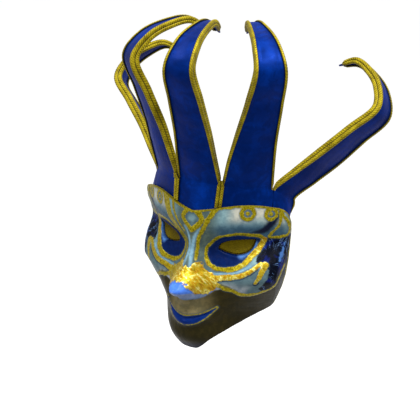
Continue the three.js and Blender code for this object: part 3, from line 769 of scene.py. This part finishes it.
def store_uv(piece, flat):
    """Lays a piece out flat, one place for each of its points."""
    layer = piece.data.uv_layers.new(name="UVMap")
    loops = np.zeros(len(piece.data.loops), np.int32)
    piece.data.loops.foreach_get("vertex_index", loops)
    layer.data.foreach_set("uv", np.asarray(flat, np.float32)[loops].ravel())


def step_lengths(points):
    return np.linalg.norm(np.diff(points, axis=0), axis=1)


def running_total(lengths):
    return np.concatenate([[0], np.cumsum(lengths)])


def even_places(lengths, count):
    """Places in a row that share its length out evenly."""
    total = running_total(lengths)
    return np.interp(np.linspace(0, total[-1], count + 1), total, np.linspace(0, 1, len(total)))


def face_places(columns, rows):
    """Where the face's grid lines lie: across it, and down from its top edge, closer where it is steep."""
    across = np.linspace(-1, 1, GRID_SAMPLES + 1)
    lengths = np.zeros(GRID_SAMPLES)
    for height in MEASURED_HEIGHTS:
        lengths += step_lengths(face_point(across, np.full(len(across), height)))
    lengths = (lengths + lengths[::-1]) / 2
    down = np.linspace(0, 1, GRID_SAMPLES + 1)
    heights = np.zeros(GRID_SAMPLES)
    for place in MEASURED_PLACES:
        top, bottom = face_top(np.array(place)), face_bottom(np.array(place))
        heights += step_lengths(face_point(np.full(len(down), place), top + (bottom - top) * down))
    return even_places(lengths, columns) * 2 - 1, even_places(heights, rows)


def face_grid(across, down, depth):
    top, bottom = face_top(across), face_bottom(across)
    up = top[None] + (bottom - top)[None] * down[:, None]
    wide = np.broadcast_to(across[None], up.shape)
    return sunk_face(wide, up, depth), wide, up


def lid_distance(places):
    """Distance from the eyes' openings, as seen square on."""
    origin, along, up, _ = eye_frame()
    mirrored = places.copy()
    mirrored[:, 0] = np.abs(mirrored[:, 0])
    local = mirrored - origin
    flat = np.stack([local @ along, local @ up], 1)
    return edge_distance(flat, eye_outline(0, LID_STEPS))


def face_rise(places, around, height, gold):
    """How far the gold, the rims of the eyes and the uneven paper stand out, less the mouth and nostrils."""
    side = np.abs(around)
    lid = lid_distance(places)
    rise = GOLD_RAISE * fall_over(gold, -0.7, 0.5)
    rise += LID_RISE * bell(lid - LID_SPREAD, LID_SPREAD) * (lid > -3)
    rise += 0.12 * ripple(places, 16, 31) + 0.06 * ripple(places, 5, 32)
    mouth = edge_distance(np.stack([side, height], 1), np.array(MOUTH_SLIT, float), closed=False)
    rise -= MOUTH_SINK * bell(mouth, MOUTH_SPREAD) * (side < MOUTH_SLIT[-1][0])
    across = (side - NOSTRIL["side"]) / NOSTRIL["wide"]
    below = (height + NOSTRIL["drop"]) / NOSTRIL["tall"]
    return rise - NOSTRIL["deep"] * np.exp(-(np.hypot(across, below) ** 2))


def rim_faces(front, back):
    """Faces round the shell's rim, from the point numbers of its front and its back, half as fine."""
    faces = []
    for c in range(back.shape[1] - 1):
        here = slice(2 * c, 2 * c + 3)
        faces.append([*front[0, here][::-1], back[0, c], back[0, c + 1]])
        faces.append([*front[-1, here], back[-1, c + 1], back[-1, c]])
    for r in range(back.shape[0] - 1):
        here = slice(2 * r, 2 * r + 3)
        faces.append([*front[here, 0], back[r + 1, 0], back[r, 0]])
        faces.append([*front[here, -1][::-1], back[r, -1], back[r + 1, -1]])
    return faces


def build_face(columns, rows):
    across, down = face_places(columns, rows)
    front, wide, up = face_grid(across, down, 0)
    places, around, height = front.reshape(-1, 3), (wide * AROUND).ravel(), up.ravel()
    paint, gold, heat, temple = paint_face(places, around, height)
    rise = face_rise(places, around, height, gold)
    places = places - face_inward(wide, up).reshape(-1, 3) * rise[:, None]
    back = face_grid(across[::2], down[::2], SHELL_WALL)[0]
    behind = back.reshape(-1, 3)
    points = np.concatenate([places, behind])
    first, count = len(places), len(behind)
    front_at = np.arange(first).reshape(front.shape[:2])
    back_at = first + np.arange(count).reshape(back.shape[:2])
    faces = [*grid_faces(*front_at.shape), *grid_faces(*back_at.shape, first, True)]
    faces += rim_faces(front_at, back_at)
    shell = new_object("painted_face", points, faces)
    fields = {
        "paint": np.concatenate([paint, np.tile(PAINT["bronze"], (count, 1))]),
        "gold": np.concatenate([gold, np.full(count, FAR)]),
        "fiery": np.concatenate([heat, np.zeros(count)]),
        "temple": np.concatenate([temple, np.full(count, -3.0)]),
        "raw": np.concatenate([np.zeros(first), np.ones(count)]),
    }
    for rim in (back_at[0], back_at[-1], back_at[:, 0], back_at[:, -1]):
        fields["raw"][rim] = 0
        fields["gold"][rim] = -1
    by_eye = first + np.flatnonzero(lid_distance(behind) < LID_PAINT)
    fields["raw"][by_eye] = 0
    fields["paint"][by_eye] = PAINT["navy"]
    cut_eyes(shell)
    tree = KDTree(len(points))
    for i, point in enumerate(points * SCALE):
        tree.insert(point, i)
    tree.balance()
    nearest = np.array([tree.find(v.co)[1] for v in shell.data.vertices])
    for name, values in fields.items():
        store(shell, name, values[nearest])
    return shell


def cut_eyes(shell):
    origin, along, up, out = eye_frame()
    outline = eye_outline(0, CUT_STEPS)
    count = len(outline)
    deep = FACE_DEPTH / 3
    ends = [origin + outline[:, :1] * along + outline[:, 1:] * up + out * reach for reach in (-deep, deep)]
    sides = [[i, (i + 1) % count, count + (i + 1) % count, count + i] for i in range(count)]
    faces = [list(range(count))[::-1], list(range(count, 2 * count)), *sides]
    for side in (1, -1):
        cutter = new_object("cutter", mirror(np.concatenate(ends), side), faces)
        cut = shell.modifiers.new("eye", "BOOLEAN")
        cut.operation, cut.object, cut.solver = "DIFFERENCE", cutter, "EXACT"
        whole = bpy.data.meshes.new_from_object(shell.evaluated_get(bpy.context.evaluated_depsgraph_get()))
        shell.modifiers.clear()
        shell.data = whole
        bpy.data.objects.remove(cutter)
    shell.data.polygons.foreach_set("use_smooth", [True] * len(shell.data.polygons))
    shell.data.set_sharp_from_angle(angle=math.radians(SMOOTH_ANGLE))


# The horns, with the look of stuffed velvet: a fuller middle, puckers by the braid and folds in the curl.
GORE_COLUMNS = 36
GORE_STEPS = 16
SEAM_ABOVE = 4  # steps that the seam braid runs up past the cap's top, over the notch
BRAID_BELOW = 9  # steps that the edge braids start below it
LAP_COLUMNS = GORE_COLUMNS // 6
LAP_SHARE = 0.8
PUCKER_DEPTH = 0.35
PUCKER_LENGTH = 8.0
PUCKER_REACH = 6
WAVE_LENGTHS = (30, 11, 40)  # of the folds, the dents and the puckers' sway


def horn_cloth(seat, near, far, seed):
    """A horn's front and back faces, and how far along it each row lies."""
    rows, thick, full = gore_rows(seat, near, far, GORE_COLUMNS)
    front, back = gore_faces(rows, thick, full, GORE_STEPS)
    plump = np.interp(np.linspace(0, 1, len(front)), np.linspace(0, 1, len(full)), full)[:, None]
    span = np.linalg.norm(front[:, -1] - front[:, 0], axis=1)[:, None]
    s = np.linspace(0, 1, GORE_COLUMNS + 1)[None]
    edge = np.minimum(s, 1 - s) * span
    length = running_total(step_lengths(front[:, GORE_COLUMNS // 2]))[:, None]
    clear = rise_over(edge, BRAID_LAP + 0.8, BRAID_LAP + 3.5)
    out = unit(front - back)
    shapes = []
    for face, way, turn in ((front, 1, 0.0), (back, -1, 2.0)):
        flat = face.reshape(-1, 3)
        folds, dents, sway = (
            ripple(flat, size, seed + k).reshape(edge.shape) for k, size in enumerate(WAVE_LENGTHS)
        )
        swell = folds * 0.45 + dents * 0.14
        beat = length / PUCKER_LENGTH + sway * 0.6 + turn + np.round(s)
        pucker = -PUCKER_DEPTH * (0.5 + 0.5 * np.sin(2 * math.pi * beat)) * np.exp(-edge / PUCKER_REACH)
        shapes.append(face + out * way * ((swell + pucker) * clear * np.minimum(plump * 1.4, 1))[..., None])
    return shapes[0], shapes[1], length


def slab_faces(rows, columns):
    size = rows * columns
    faces = [*grid_faces(rows, columns), *grid_faces(rows, columns, size, True)]
    for r in range(rows - 1):
        a, b = r * columns, (r + 1) * columns
        faces += [[a, b, size + b, size + a]]
        a, b = a + columns - 1, b + columns - 1
        faces += [[a, size + a, size + b, b]]
    for c in range(columns - 1):
        faces += [[c, size + c, size + c + 1, c + 1]]
        a = size - columns + c
        faces += [[a, a + 1, size + a + 1, size + a]]
    return faces


def mirror(points, side):
    return points * np.array([side, 1, 1])


def build_horn(name, cloth, node, side=1):
    front, back, length = cloth
    points = mirror(np.concatenate([front.reshape(-1, 3), back.reshape(-1, 3)]), side)
    piece = new_object(name, points, slab_faces(*front.shape[:2]))
    wide, along = np.broadcast_arrays(np.linspace(0, HORN_WIDTH, front.shape[1]), length)
    flat = np.stack([wide.ravel(), along.ravel()], 1) / FLAT_SCALE
    store_uv(piece, np.concatenate([flat, flat + np.array([BACK_SHIFT, 0])]))
    return finish_piece(piece, velvet, node)


# The braid round a horn's edges, and the one over a cap seam. Each strand is a round cord beside the next.
STRAND_RISE = 0.8
PLAIT_LENGTH = 2.6
PLAIT_DEPTH = 0.13
LAP_POINTS = 6
WALL_POINTS = 15
STRAND_SINK = 0.4
RING_GAP = 0.55
BRAID_SHORT = 4.0  # how far a braid stops before the horn's tip
BRAID_START = 9.0  # over which a braid grows from the seam to its full size
BRAID_ANGLE = 70
BRAID_FLAT_WIDTH = 10
SEAM_POINTS = 21
SEAM_CLIMB = (0.68, 0.88)  # the part of its length on which the seam braid climbs over the horns' braids
SEAM_TAPER = 0.35


def resample(rows, gap):
    """The same rows of points, at even steps along the first of them."""
    total = running_total(step_lengths(rows[:, 0]))
    wanted = np.linspace(0, total[-1], int(total[-1] / gap) + 2)
    i = np.clip(np.searchsorted(total, wanted) - 1, 0, len(total) - 2)
    t = ((wanted - total[i]) / (total[i + 1] - total[i]))[:, None, None]
    return rows[i] * (1 - t) + rows[i + 1] * t, wanted


def strand_lift(place, along, count):
    """How far a cord stands out at a place from 0 to 1 over the braid's width."""
    cord = np.full(len(along), min(place, 0.9999) * count)
    round_top = np.sqrt(np.clip(1 - (2 * (cord % 1) - 1) ** 2, 0, 1))
    lean = np.where(cord.astype(int) % 2 == 0, 1, -1)
    plait = np.sin(2 * math.pi * (along / PLAIT_LENGTH + lean * (cord % 1) * 0.8))
    return STRAND_RISE * round_top + PLAIT_DEPTH * plait * round_top


def edge_braid(cloth, edge, start):
    """The braid round one edge of a horn: its rings of points, how far along each is, and its cords."""
    front, back = cloth[0][start:], cloth[1][start:]
    next_column = LAP_COLUMNS if edge == 0 else GORE_COLUMNS - LAP_COLUMNS
    picked = np.stack([front[:, edge], back[:, edge], front[:, next_column], back[:, next_column]], 1)
    picked, along = resample(picked, RING_GAP)
    kept = along < along[-1] - BRAID_SHORT
    picked, along = picked[kept], along[kept]
    a, b, front_in, back_in = (picked[:, i] for i in range(4))
    deep = unit(b - a)
    aside = a - front_in
    aside = unit(aside - (aside * deep).sum(1)[:, None] * deep)
    lap = np.minimum(BRAID_LAP, np.linalg.norm(a - front_in, axis=1) * LAP_SHARE)[:, None]
    front_lip = a + unit(front_in - a) * lap
    back_lip = b + unit(back_in - b) * lap
    ending = fall_over(along, along[-1] - BRAID_SHORT, along[-1] + 1)
    grown = (rise_over(along, 0, BRAID_START) * ending)[:, None]

    def channel(room):
        """The braid's corners, at some distance from the cloth."""
        beside = aside * room
        over = deep * room
        return [front_lip - over, a + beside - over, b + beside + over, back_lip + over]

    outer = channel((PIECE_GAP + BRAID_WALL) * (0.25 + 0.75 * grown))
    legs = ((-deep, LAP_POINTS, 1), (aside, WALL_POINTS, 2), (deep, LAP_POINTS, 1))
    rings, cords = [], []
    for leg, (way, count, strands) in enumerate(legs):
        for t in np.linspace(0, 1, count):
            base = outer[leg] * (1 - t) + outer[leg + 1] * t - way * STRAND_SINK * grown
            lift = strand_lift(t, along, strands)
            lean = unit(way + deep * (2 * t - 1) * 0.5) if leg == 1 else way
            rings.append(base + lean * lift[:, None] * grown)
            cords.append(lift)
    inner = channel(PIECE_GAP * (0.3 + 0.7 * grown))[::-1]
    rings += inner
    cords += [0 * along] * len(inner)
    return np.stack(rings, 1), along, np.stack(cords, 1)


def ring_faces(rings, size, start=0, flip=False):
    """Faces between closed rings of points, each joined to the next."""
    faces = []
    for r in range(rings - 1):
        for c in range(size):
            a, b = start + r * size + c, start + r * size + (c + 1) % size
            quad = [a, b, b + size, a + size]
            faces.append(quad[::-1] if flip else quad)
    return faces


def tube_faces(rings, size):
    last = (rings - 1) * size
    return [*ring_faces(rings, size), list(range(size))[::-1], list(range(last, last + size))]


def build_braid(name, braid, node, side=1):
    rings, along, cords = braid
    piece = new_object(name, mirror(rings.reshape(-1, 3), side), tube_faces(*rings.shape[:2]), BRAID_ANGLE)
    places = np.linspace(0, BRAID_FLAT_WIDTH, rings.shape[1])[None]
    store_uv(piece, np.stack(np.broadcast_arrays(places, along[:, None]), -1).reshape(-1, 2) / FLAT_SCALE)
    store(piece, "cord", (cords / STRAND_RISE).ravel())
    return finish_piece(piece, braid_gold, node)


def seam_braid(left, right):
    """The double braid over a front seam, which rises over the two horns' braids where they meet."""
    rows = slice(CREST_ROW * GORE_STEPS, BAND_ROW * GORE_STEPS + SEAM_ABOVE + 1)
    a, b = left[0][rows, 0], right[0][rows, GORE_COLUMNS]
    wide = unit(left[0][rows, LAP_COLUMNS] - right[0][rows, GORE_COLUMNS - LAP_COLUMNS])
    tall = left[0][rows.start + 1 : rows.stop + 1, 0] - left[0][rows.start - 1 : rows.stop - 1, 0]
    out = unit(np.cross(wide, tall))
    out = np.where(out[:, 1:2] > 0, -out, out)
    s = np.linspace(0, 1, len(a))
    over = rise_over(s, *SEAM_CLIMB)
    low = PIECE_GAP + SEAM_LIFT + over * (BRAID_WALL + PIECE_GAP * 2 - SEAM_LIFT)
    half = SEAM_BRAID_WIDTH / 2 * (1 - SEAM_TAPER * rise_over(s, 0.8, 1))
    packed = np.stack([(a + b) / 2, wide, out, np.stack([low, half, half], 1)], 1)
    packed, along = resample(packed, RING_GAP)
    middle, wide, out = packed[:, 0], unit(packed[:, 1]), unit(packed[:, 2])
    low, half = packed[:, 3, :1], packed[:, 3, 1:2]
    rings, cords = [], []
    for t in np.linspace(0, 1, SEAM_POINTS):
        lift = strand_lift(t, along, 2)
        high = low + BRAID_WALL * 0.5 + lift[:, None] * 1.5
        rings.append(middle + wide * (2 * t - 1) * half + out * high)
        cords.append(lift)
    for t in (1, 0.5, 0):
        rings.append(middle + wide * (2 * t - 1) * half + out * low)
        cords.append(0 * along)
    return np.stack(rings, 1), along, np.stack(cords, 1)


BINDING_COLUMNS = 2
BINDING_GAP = 0.35
BINDING_WALL = 0.7
BINDING_ABOVE = 3  # rows that a binding runs up past the edge braids' feet


def build_binding(name, first, second, rows, side=1):
    """A strip of cloth behind a seam of the cap, over the gap between its gores."""
    reach = BINDING_COLUMNS + 1
    front, back = (np.concatenate([first[k][:rows, -reach:], second[k][:rows, :reach]], 1) for k in (0, 1))
    deep = unit(back - front)
    outer = back + deep * BINDING_GAP
    inner = back + deep * (BINDING_GAP + BINDING_WALL)
    rings = np.concatenate([outer, inner[:, ::-1]], 1)
    piece = new_object(name, mirror(rings.reshape(-1, 3), side), tube_faces(*rings.shape[:2]))
    places = np.stack(np.meshgrid(np.arange(rings.shape[1]), np.arange(rows)), -1)
    store_uv(piece, places.reshape(-1, 2) / FLAT_SCALE)
    return finish_piece(piece, velvet)


# The gauze discs behind the eyes, as rings of points round a hub.
SCREEN_STEPS = 36
SCREEN_RINGS = 28
SCREEN_HUB = 0.02
FIND_ROUNDS = 8
NUDGE_ACROSS = 1e-4
NUDGE_UP = 1e-2


def find_on_face(flat, frame_axes, depth):
    """The places on the sunk face that lie at flat places in the eye's own plane, by Newton's method."""
    origin, along, up, _ = frame_axes
    across = np.full(len(flat), across_at(origin[0])) + flat[:, 0] / AROUND
    height = origin[2] + flat[:, 1]
    depth = np.asarray(depth)[:, None]

    def local(a, z):
        place = sunk_face(a, z, depth) - origin
        return np.stack([place @ along, place @ up], 1)

    for _ in range(FIND_ROUNDS):
        here = local(across, height)
        by_across = (local(across + NUDGE_ACROSS, height) - here) / NUDGE_ACROSS
        by_height = (local(across, height + NUDGE_UP) - here) / NUDGE_UP
        miss = flat - here
        size = by_across[:, 0] * by_height[:, 1] - by_across[:, 1] * by_height[:, 0]
        across = across + (miss[:, 0] * by_height[:, 1] - miss[:, 1] * by_height[:, 0]) / size
        height = height + (by_across[:, 0] * miss[:, 1] - by_across[:, 1] * miss[:, 0]) / size
    return sunk_face(across, height, depth)


def build_screen(name, node, side):
    axes = eye_frame()
    outline = eye_outline(SCREEN_LAP, SCREEN_STEPS)
    count = len(outline)
    shares = np.sqrt(np.linspace(SCREEN_HUB, 1, SCREEN_RINGS))
    flat = (outline[None] * shares[:, None, None]).reshape(-1, 2)
    near = SHELL_WALL + SCREEN_GAP
    swell = GAUZE_SWELL * rise_over(-edge_distance(flat, eye_outline(0, SCREEN_STEPS)), 0.4, 1.8)
    faces, points = [], []
    for k, depth in enumerate((near - swell, near + SCREEN_WALL - swell)):
        points.append(find_on_face(flat, axes, depth))
        start = k * len(flat)
        hub = list(range(start, start + count))
        faces += [*ring_faces(SCREEN_RINGS, count, start, k == 0), hub if k == 0 else hub[::-1]]
    last = (SCREEN_RINGS - 1) * count
    for c in range(count):
        a, b = last + c, last + (c + 1) % count
        faces.append([a, b, b + len(flat), a + len(flat)])
    piece = new_object(name, mirror(np.concatenate(points), side), faces)
    store_uv(piece, np.concatenate([flat, flat]) / FLAT_SCALE)
    return finish_piece(piece, gauze, node)


def finish_piece(piece, material, node=None):
    piece.data.materials.clear()
    piece.data.materials.append(material)
    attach(piece, "root")
    if node:
        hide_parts(node)
    return piece


class Nodes:
    """A material's nodes, made and joined by short calls."""

    def __init__(self, name):
        self.material = bpy.data.materials.new(name)
        self.material.use_nodes = True
        self.tree = self.material.node_tree
        self.shader = self.tree.nodes["Principled BSDF"]

    def make(self, kind, inputs=None, **settings):
        node = self.tree.nodes.new(kind)
        for key, value in settings.items():
            setattr(node, key, value)
        for key, value in (inputs or {}).items():
            self.put(node.inputs[key], value)
        return node

    def put(self, socket, value):
        if isinstance(value, bpy.types.NodeSocket):
            self.tree.links.new(value, socket)
        else:
            socket.default_value = (*value, 1.0) if socket.type == "RGBA" else value

    def set(self, **values):
        for name, value in values.items():
            self.put(self.shader.inputs[name.replace("_", " ")], value)

    def field(self, name, output="Fac"):
        return self.make("ShaderNodeAttribute", attribute_name=name).outputs[output]

    def maths(self, operation, a, b=0.0):
        return self.make("ShaderNodeMath", {0: a, 1: b}, operation=operation).outputs[0]

    def times(self, a, b):
        return self.maths("MULTIPLY", a, b)

    def plus(self, a, b):
        return self.maths("ADD", a, b)

    def less(self, a, b):
        return self.maths("SUBTRACT", a, b)

    def noise(self, scale, detail=3.0, roughness=0.55, vector=None, distortion=0.0):
        inputs = {"Scale": scale, "Detail": detail, "Roughness": roughness, "Distortion": distortion}
        inputs["Vector"] = self.place() if vector is None else vector
        return self.make("ShaderNodeTexNoise", inputs).outputs["Fac"]

    def place(self):
        return self.make("ShaderNodeTexCoord").outputs["Object"]

    def stroked(self, long, wide, turn):
        """Places for a noise in strokes of the given length and width, that run along the turned x axis."""
        inputs = {"Vector": self.place(), "Scale": (long, wide, wide), "Rotation": turn}
        return self.make("ShaderNodeMapping", inputs, vector_type="TEXTURE").outputs[0]

    def threads(self, scale, way, distortion, detail=2.0):
        """Even bands over a piece laid out flat."""
        flat = self.make("ShaderNodeUVMap", uv_map="UVMap").outputs[0]
        inputs = {"Vector": flat, "Scale": scale, "Distortion": distortion, "Detail": detail}
        return self.make("ShaderNodeTexWave", inputs, bands_direction=way).outputs["Fac"]

    def mix(self, share, a, b, blend="MIX"):
        node = self.make("ShaderNodeMix", data_type="RGBA", blend_type=blend)
        self.put(node.inputs[0], share)
        self.put(node.inputs[6], a)
        self.put(node.inputs[7], b)
        return node.outputs[2]

    def ramp(self, value, *stops):
        node = self.make("ShaderNodeValToRGB", {0: value})
        while len(node.color_ramp.elements) < len(stops):
            node.color_ramp.elements.new(0.5)
        for element, (place, colour) in zip(node.color_ramp.elements, stops):
            element.position = place
            element.color = (*colour, 1.0)
        return node.outputs[0]

    def span(self, value, low, high, to_low=0.0, to_high=1.0):
        inputs = {"Value": value, "From Min": low, "From Max": high, "To Min": to_low, "To Max": to_high}
        return self.make("ShaderNodeMapRange", inputs, interpolation_type="SMOOTHSTEP").outputs[0]

    def bump(self, height, strength, distance):
        inputs = {"Height": height, "Strength": strength, "Distance": distance * SCALE}
        return self.make("ShaderNodeBump", inputs).outputs[0]


WHITE = (1, 1, 1)
GOLD_STROKES = dict(long=0.013, wide=0.0028, turn=(0.0, 0.91, 0.96))


def painted_paper():
    """Varnished paint and gold leaf on papier-mache, with the bare brown inside."""
    n = Nodes("painted_papier_mache")
    raw = n.field("raw")
    fine = n.noise(520, 4, 0.7)
    ragged = n.noise(330, 5, 0.75)

    # Gold: worn at its edges, plain on the lines, and in fiery strokes on the nose.
    worn = n.plus(n.field("gold"), n.times(n.less(ragged, 0.5), 2.8))
    gilt = n.span(worn, 0.75, -0.45)
    rim = n.times(n.span(worn, 2.2, 0.3), 0.4)
    leaf = n.ramp(
        fine,
        (0.36, (0.07, 0.055, 0.001)),
        (0.5, (0.13, 0.104, 0.001)),
        (0.64, (0.22, 0.185, 0.01)),
    )
    blaze = n.ramp(
        n.noise(1, 4, 0.6, n.stroked(**GOLD_STROKES)),
        (0.32, (0.10, 0.055, 0.003)),
        (0.42, (0.21, 0.105, 0.004)),
        (0.52, (0.23, 0.168, 0.008)),
        (0.66, (0.36, 0.33, 0.12)),
    )
    gold = n.mix(n.times(n.field("fiery"), n.span(ragged, 0.35, 0.5)), leaf, blaze)

    # Paint: a little mottled, and marbled with blue veins on the temples.
    mottled = n.mix(n.span(n.noise(150, 5, 0.6), 0.42, 0.6), (0.72, 0.76, 0.8), WHITE)
    ground = n.mix(1.0, n.field("paint", "Color"), mottled, "MULTIPLY")
    vein = n.maths("ABSOLUTE", n.less(n.noise(55, 4, 0.6, distortion=1.6), 0.5))
    cobalt = n.times(n.span(vein, 0.022, 0.0), n.span(n.noise(45, 2), 0.42, 0.6))
    patch = n.span(n.noise(40, 4, 0.55, distortion=1.5), 0.5, 0.66)
    marbled = n.mix(patch, (0.0004, 0.0007, 0.002), (0.0012, 0.005, 0.07))
    marbled = n.mix(cobalt, marbled, (0.06, 0.11, 0.22))
    ground = n.mix(n.times(n.span(n.field("temple"), 0.0, 0.8), 0.85), ground, marbled)
    ground = n.mix(rim, ground, (0.012, 0.03, 0.055))

    colour = n.mix(gilt, ground, gold)
    paper = n.ramp(n.noise(130, 6, 0.65), (0.35, (0.16, 0.10, 0.05)), (0.65, (0.30, 0.21, 0.12)))
    rough = n.mix(gilt, n.span(fine, 0.3, 0.7, 0.30, 0.42), n.span(ragged, 0.3, 0.7, 0.30, 0.5))
    height = n.plus(n.times(gilt, n.span(ragged, 0.2, 0.8, 0.4, 1.0)), n.times(fine, 0.35))
    n.set(Base_Color=n.mix(raw, colour, paper), Metallic=n.times(n.times(gilt, 0.45), n.less(1.0, raw)))
    n.set(Roughness=n.mix(raw, rough, (0.85, 0.85, 0.85)), Normal=n.bump(height, 0.25, 0.2))
    n.set(Coat_Weight=0.015, Coat_Roughness=0.2, Specular_IOR_Level=0.02)
    return n.material


def velvet_cloth():
    """Blue velvet: a short nap that lies this way and that, with a faint blue sheen at a glancing view."""
    n = Nodes("blue_velvet")
    nap = n.noise(26, 4, 0.6)
    pile = n.noise(2600, 2, 0.5)
    crushed = n.noise(90, 4, 0.6, distortion=1.0)
    tone = n.mix(n.span(nap, 0.35, 0.68), (0.0001, 0.0056, 0.052), (0.0002, 0.0105, 0.094))
    tone = n.mix(n.span(crushed, 0.62, 0.42, 0.0, 0.5), tone, (0.0001, 0.0034, 0.030))
    n.set(Base_Color=tone, Roughness=n.span(crushed, 0.3, 0.7, 0.42, 0.55), Metallic=0.3)
    n.set(Sheen_Weight=0.012, Sheen_Roughness=0.35, Sheen_Tint=(0.04, 0.25, 1.0))
    n.set(Specular_IOR_Level=0.08, Specular_Tint=(0.02, 0.14, 1.0))
    n.set(Normal=n.bump(n.plus(n.times(pile, 0.5), crushed), 0.15, 0.1))
    return n.material


def woven_gold():
    """Plaited metal thread, with painted shade between its cords."""
    n = Nodes("gold_braid_thread")
    thread = n.threads(24.0, "DIAGONAL", 1.2)
    worn = n.noise(110, 4, 0.6)
    tone = n.ramp(
        n.plus(n.times(thread, 0.22), n.times(worn, 0.75)),
        (0.2, (0.022, 0.017, 0.0006)),
        (0.5, (0.115, 0.088, 0.0015)),
        (0.8, (0.24, 0.195, 0.008)),
    )
    # Darker where the cords dip and on the faces against the cloth: painted shade between the cords.
    tone = n.mix(n.span(n.field("cord"), 0.62, 0.1), tone, (0.006, 0.006, 0.004))
    n.set(Base_Color=tone, Metallic=0.4, Roughness=n.span(worn, 0.3, 0.7, 0.4, 0.6))
    n.set(Specular_IOR_Level=0.05, Normal=n.bump(thread, 0.35, 0.2))
    return n.material


def gold_gauze():
    """Close gold gauze, woven square."""
    n = Nodes("gold_gauze")
    weave = n.times(n.threads(31.0, "X", 0.3), n.threads(31.0, "Y", 0.3))
    tone = n.mix(n.span(weave, 0.1, 0.7), (0.03, 0.022, 0.0003), (0.12, 0.088, 0.0005))
    cloudy = n.mix(n.span(n.noise(60, 3), 0.35, 0.65), (0.78, 0.78, 0.78), WHITE)
    n.set(Base_Color=n.mix(1.0, tone, cloudy, "MULTIPLY"), Metallic=0.15, Roughness=0.6)
    n.set(Specular_IOR_Level=0.03, Normal=n.bump(weave, 0.4, 0.2))
    return n.material


painted = painted_paper()
velvet = velvet_cloth()
braid_gold = woven_gold()
gauze = gold_gauze()

FACE_COLUMNS, FACE_ROWS = ((330, 210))
face = build_face(FACE_COLUMNS, FACE_ROWS)
finish_piece(face, painted, "face_shell")

right_seam = {**SEAMS["inner"], "across": -SEAMS["inner"]["across"], "tucked": -SEAMS["inner"]["tucked"]}
centre = horn_cloth(HORN_SEATS["centre"], right_seam, SEAMS["inner"], 101)
inner = horn_cloth(HORN_SEATS["inner"], SEAMS["inner"], SEAMS["outer"], 102)
outer = horn_cloth(HORN_SEATS["outer"], SEAMS["outer"], SEAMS["rear"], 103)
band_row = BAND_ROW * GORE_STEPS - BRAID_BELOW
outer_foot = CREST_ROW * GORE_STEPS + GORE_STEPS // 2
binding_rows = band_row + BINDING_ABOVE
build_horn("stuffed_horn_centre", centre, "horn_centre")
braids = {
    "centre": edge_braid(centre, GORE_COLUMNS, band_row),
    "inner_near": edge_braid(inner, 0, band_row),
    "inner_far": edge_braid(inner, GORE_COLUMNS, band_row),
    "outer_near": edge_braid(outer, 0, band_row),
    "outer_far": edge_braid(outer, GORE_COLUMNS, outer_foot),
}
seam = seam_braid(inner, centre)
for side, hand in ((1, "left"), (-1, "right")):
    build_horn(f"stuffed_horn_inner_{hand}", inner, f"horn_inner_{hand}", side)
    build_horn(f"stuffed_horn_outer_{hand}", outer, f"horn_outer_{hand}", side)
    for spot, braid in braids.items():
        build_braid(f"trim_{spot}_{hand}", braid, f"braid_{spot}_{hand}", side)
    build_braid(f"trim_seam_{hand}", seam, f"seam_braid_{hand}", side)
    build_binding(f"binding_inner_{hand}", centre, inner, binding_rows, side)
    build_binding(f"binding_outer_{hand}", inner, outer, binding_rows, side)
    build_screen(f"gauze_{hand}", f"eye_screen_{hand}", side)

# The camera stands where the photograph was taken from.
CAMERA_PLACE = (0.3237, -0.6472, 0.3277)
CAMERA_AZIMUTH = math.radians(27.37)
CAMERA_ELEVATION = math.radians(23.0)
IMAGE_SIZE = 420
FOCAL_PIXELS = 718
SENSOR = 36
camera_data = bpy.data.cameras.new("camera")
camera_data.sensor_width = SENSOR
camera_data.lens = FOCAL_PIXELS / IMAGE_SIZE * SENSOR
camera = bpy.data.objects.new("camera", camera_data)
camera.location = CAMERA_PLACE
camera.rotation_euler = (math.pi / 2 - CAMERA_ELEVATION, 0, CAMERA_AZIMUTH)
bpy.context.scene.collection.objects.link(camera)
bpy.context.scene.camera = camera

# A plain pale floor far below, a bright room and four soft lamps.
FLOOR_HALF = 40.0
FLOOR_HEIGHT = -1.5
floor_mesh = bpy.data.meshes.new("floor")
corners = [(x * FLOOR_HALF, y * FLOOR_HALF, FLOOR_HEIGHT) for x, y in ((-1, -1), (1, -1), (1, 1), (-1, 1))]
floor_mesh.from_pydata(corners, [], [(0, 1, 2, 3)])
floor = bpy.data.objects.new("floor", floor_mesh)
bpy.context.scene.collection.objects.link(floor)
pale = Nodes("pale_floor")
pale.set(Base_Color=(0.97, 0.97, 0.97), Roughness=1.0, Specular_IOR_Level=0.0)
floor_mesh.materials.append(pale.material)

world = bpy.data.worlds.new("studio")
world.use_nodes = True
room_light = world.node_tree.nodes["Background"]
room_light.inputs["Color"].default_value = (1, 1, 1, 1)
room_light.inputs["Strength"].default_value = 1.04
bpy.context.scene.world = world


def lamp(name, place, aim, size, power):
    data = bpy.data.lights.new(name, "AREA")
    data.shape, data.size, data.energy = "DISK", size, power
    item = bpy.data.objects.new(name, data)
    item.location = place
    item.rotation_euler = (Vector(aim) - Vector(place)).to_track_quat("-Z", "Y").to_euler()
    item.visible_camera = False
    bpy.context.scene.collection.objects.link(item)


lamp("key", (0.75, -0.9, 1.05), (0, 0, 0.06), 0.5, 13)
lamp("over_left", (0.5, -0.05, 1.15), (0.05, 0, 0.15), 0.3, 38)
lamp("over_right", (-0.55, -0.3, 1.1), (0, 0, 0.15), 0.4, 16)
lamp("front", (-0.35, -1.2, 0.35), (0, 0, 0), 0.6, 8)

scene = bpy.context.scene
scene.view_settings.view_transform = "Standard"
scene.view_settings.look = "None"
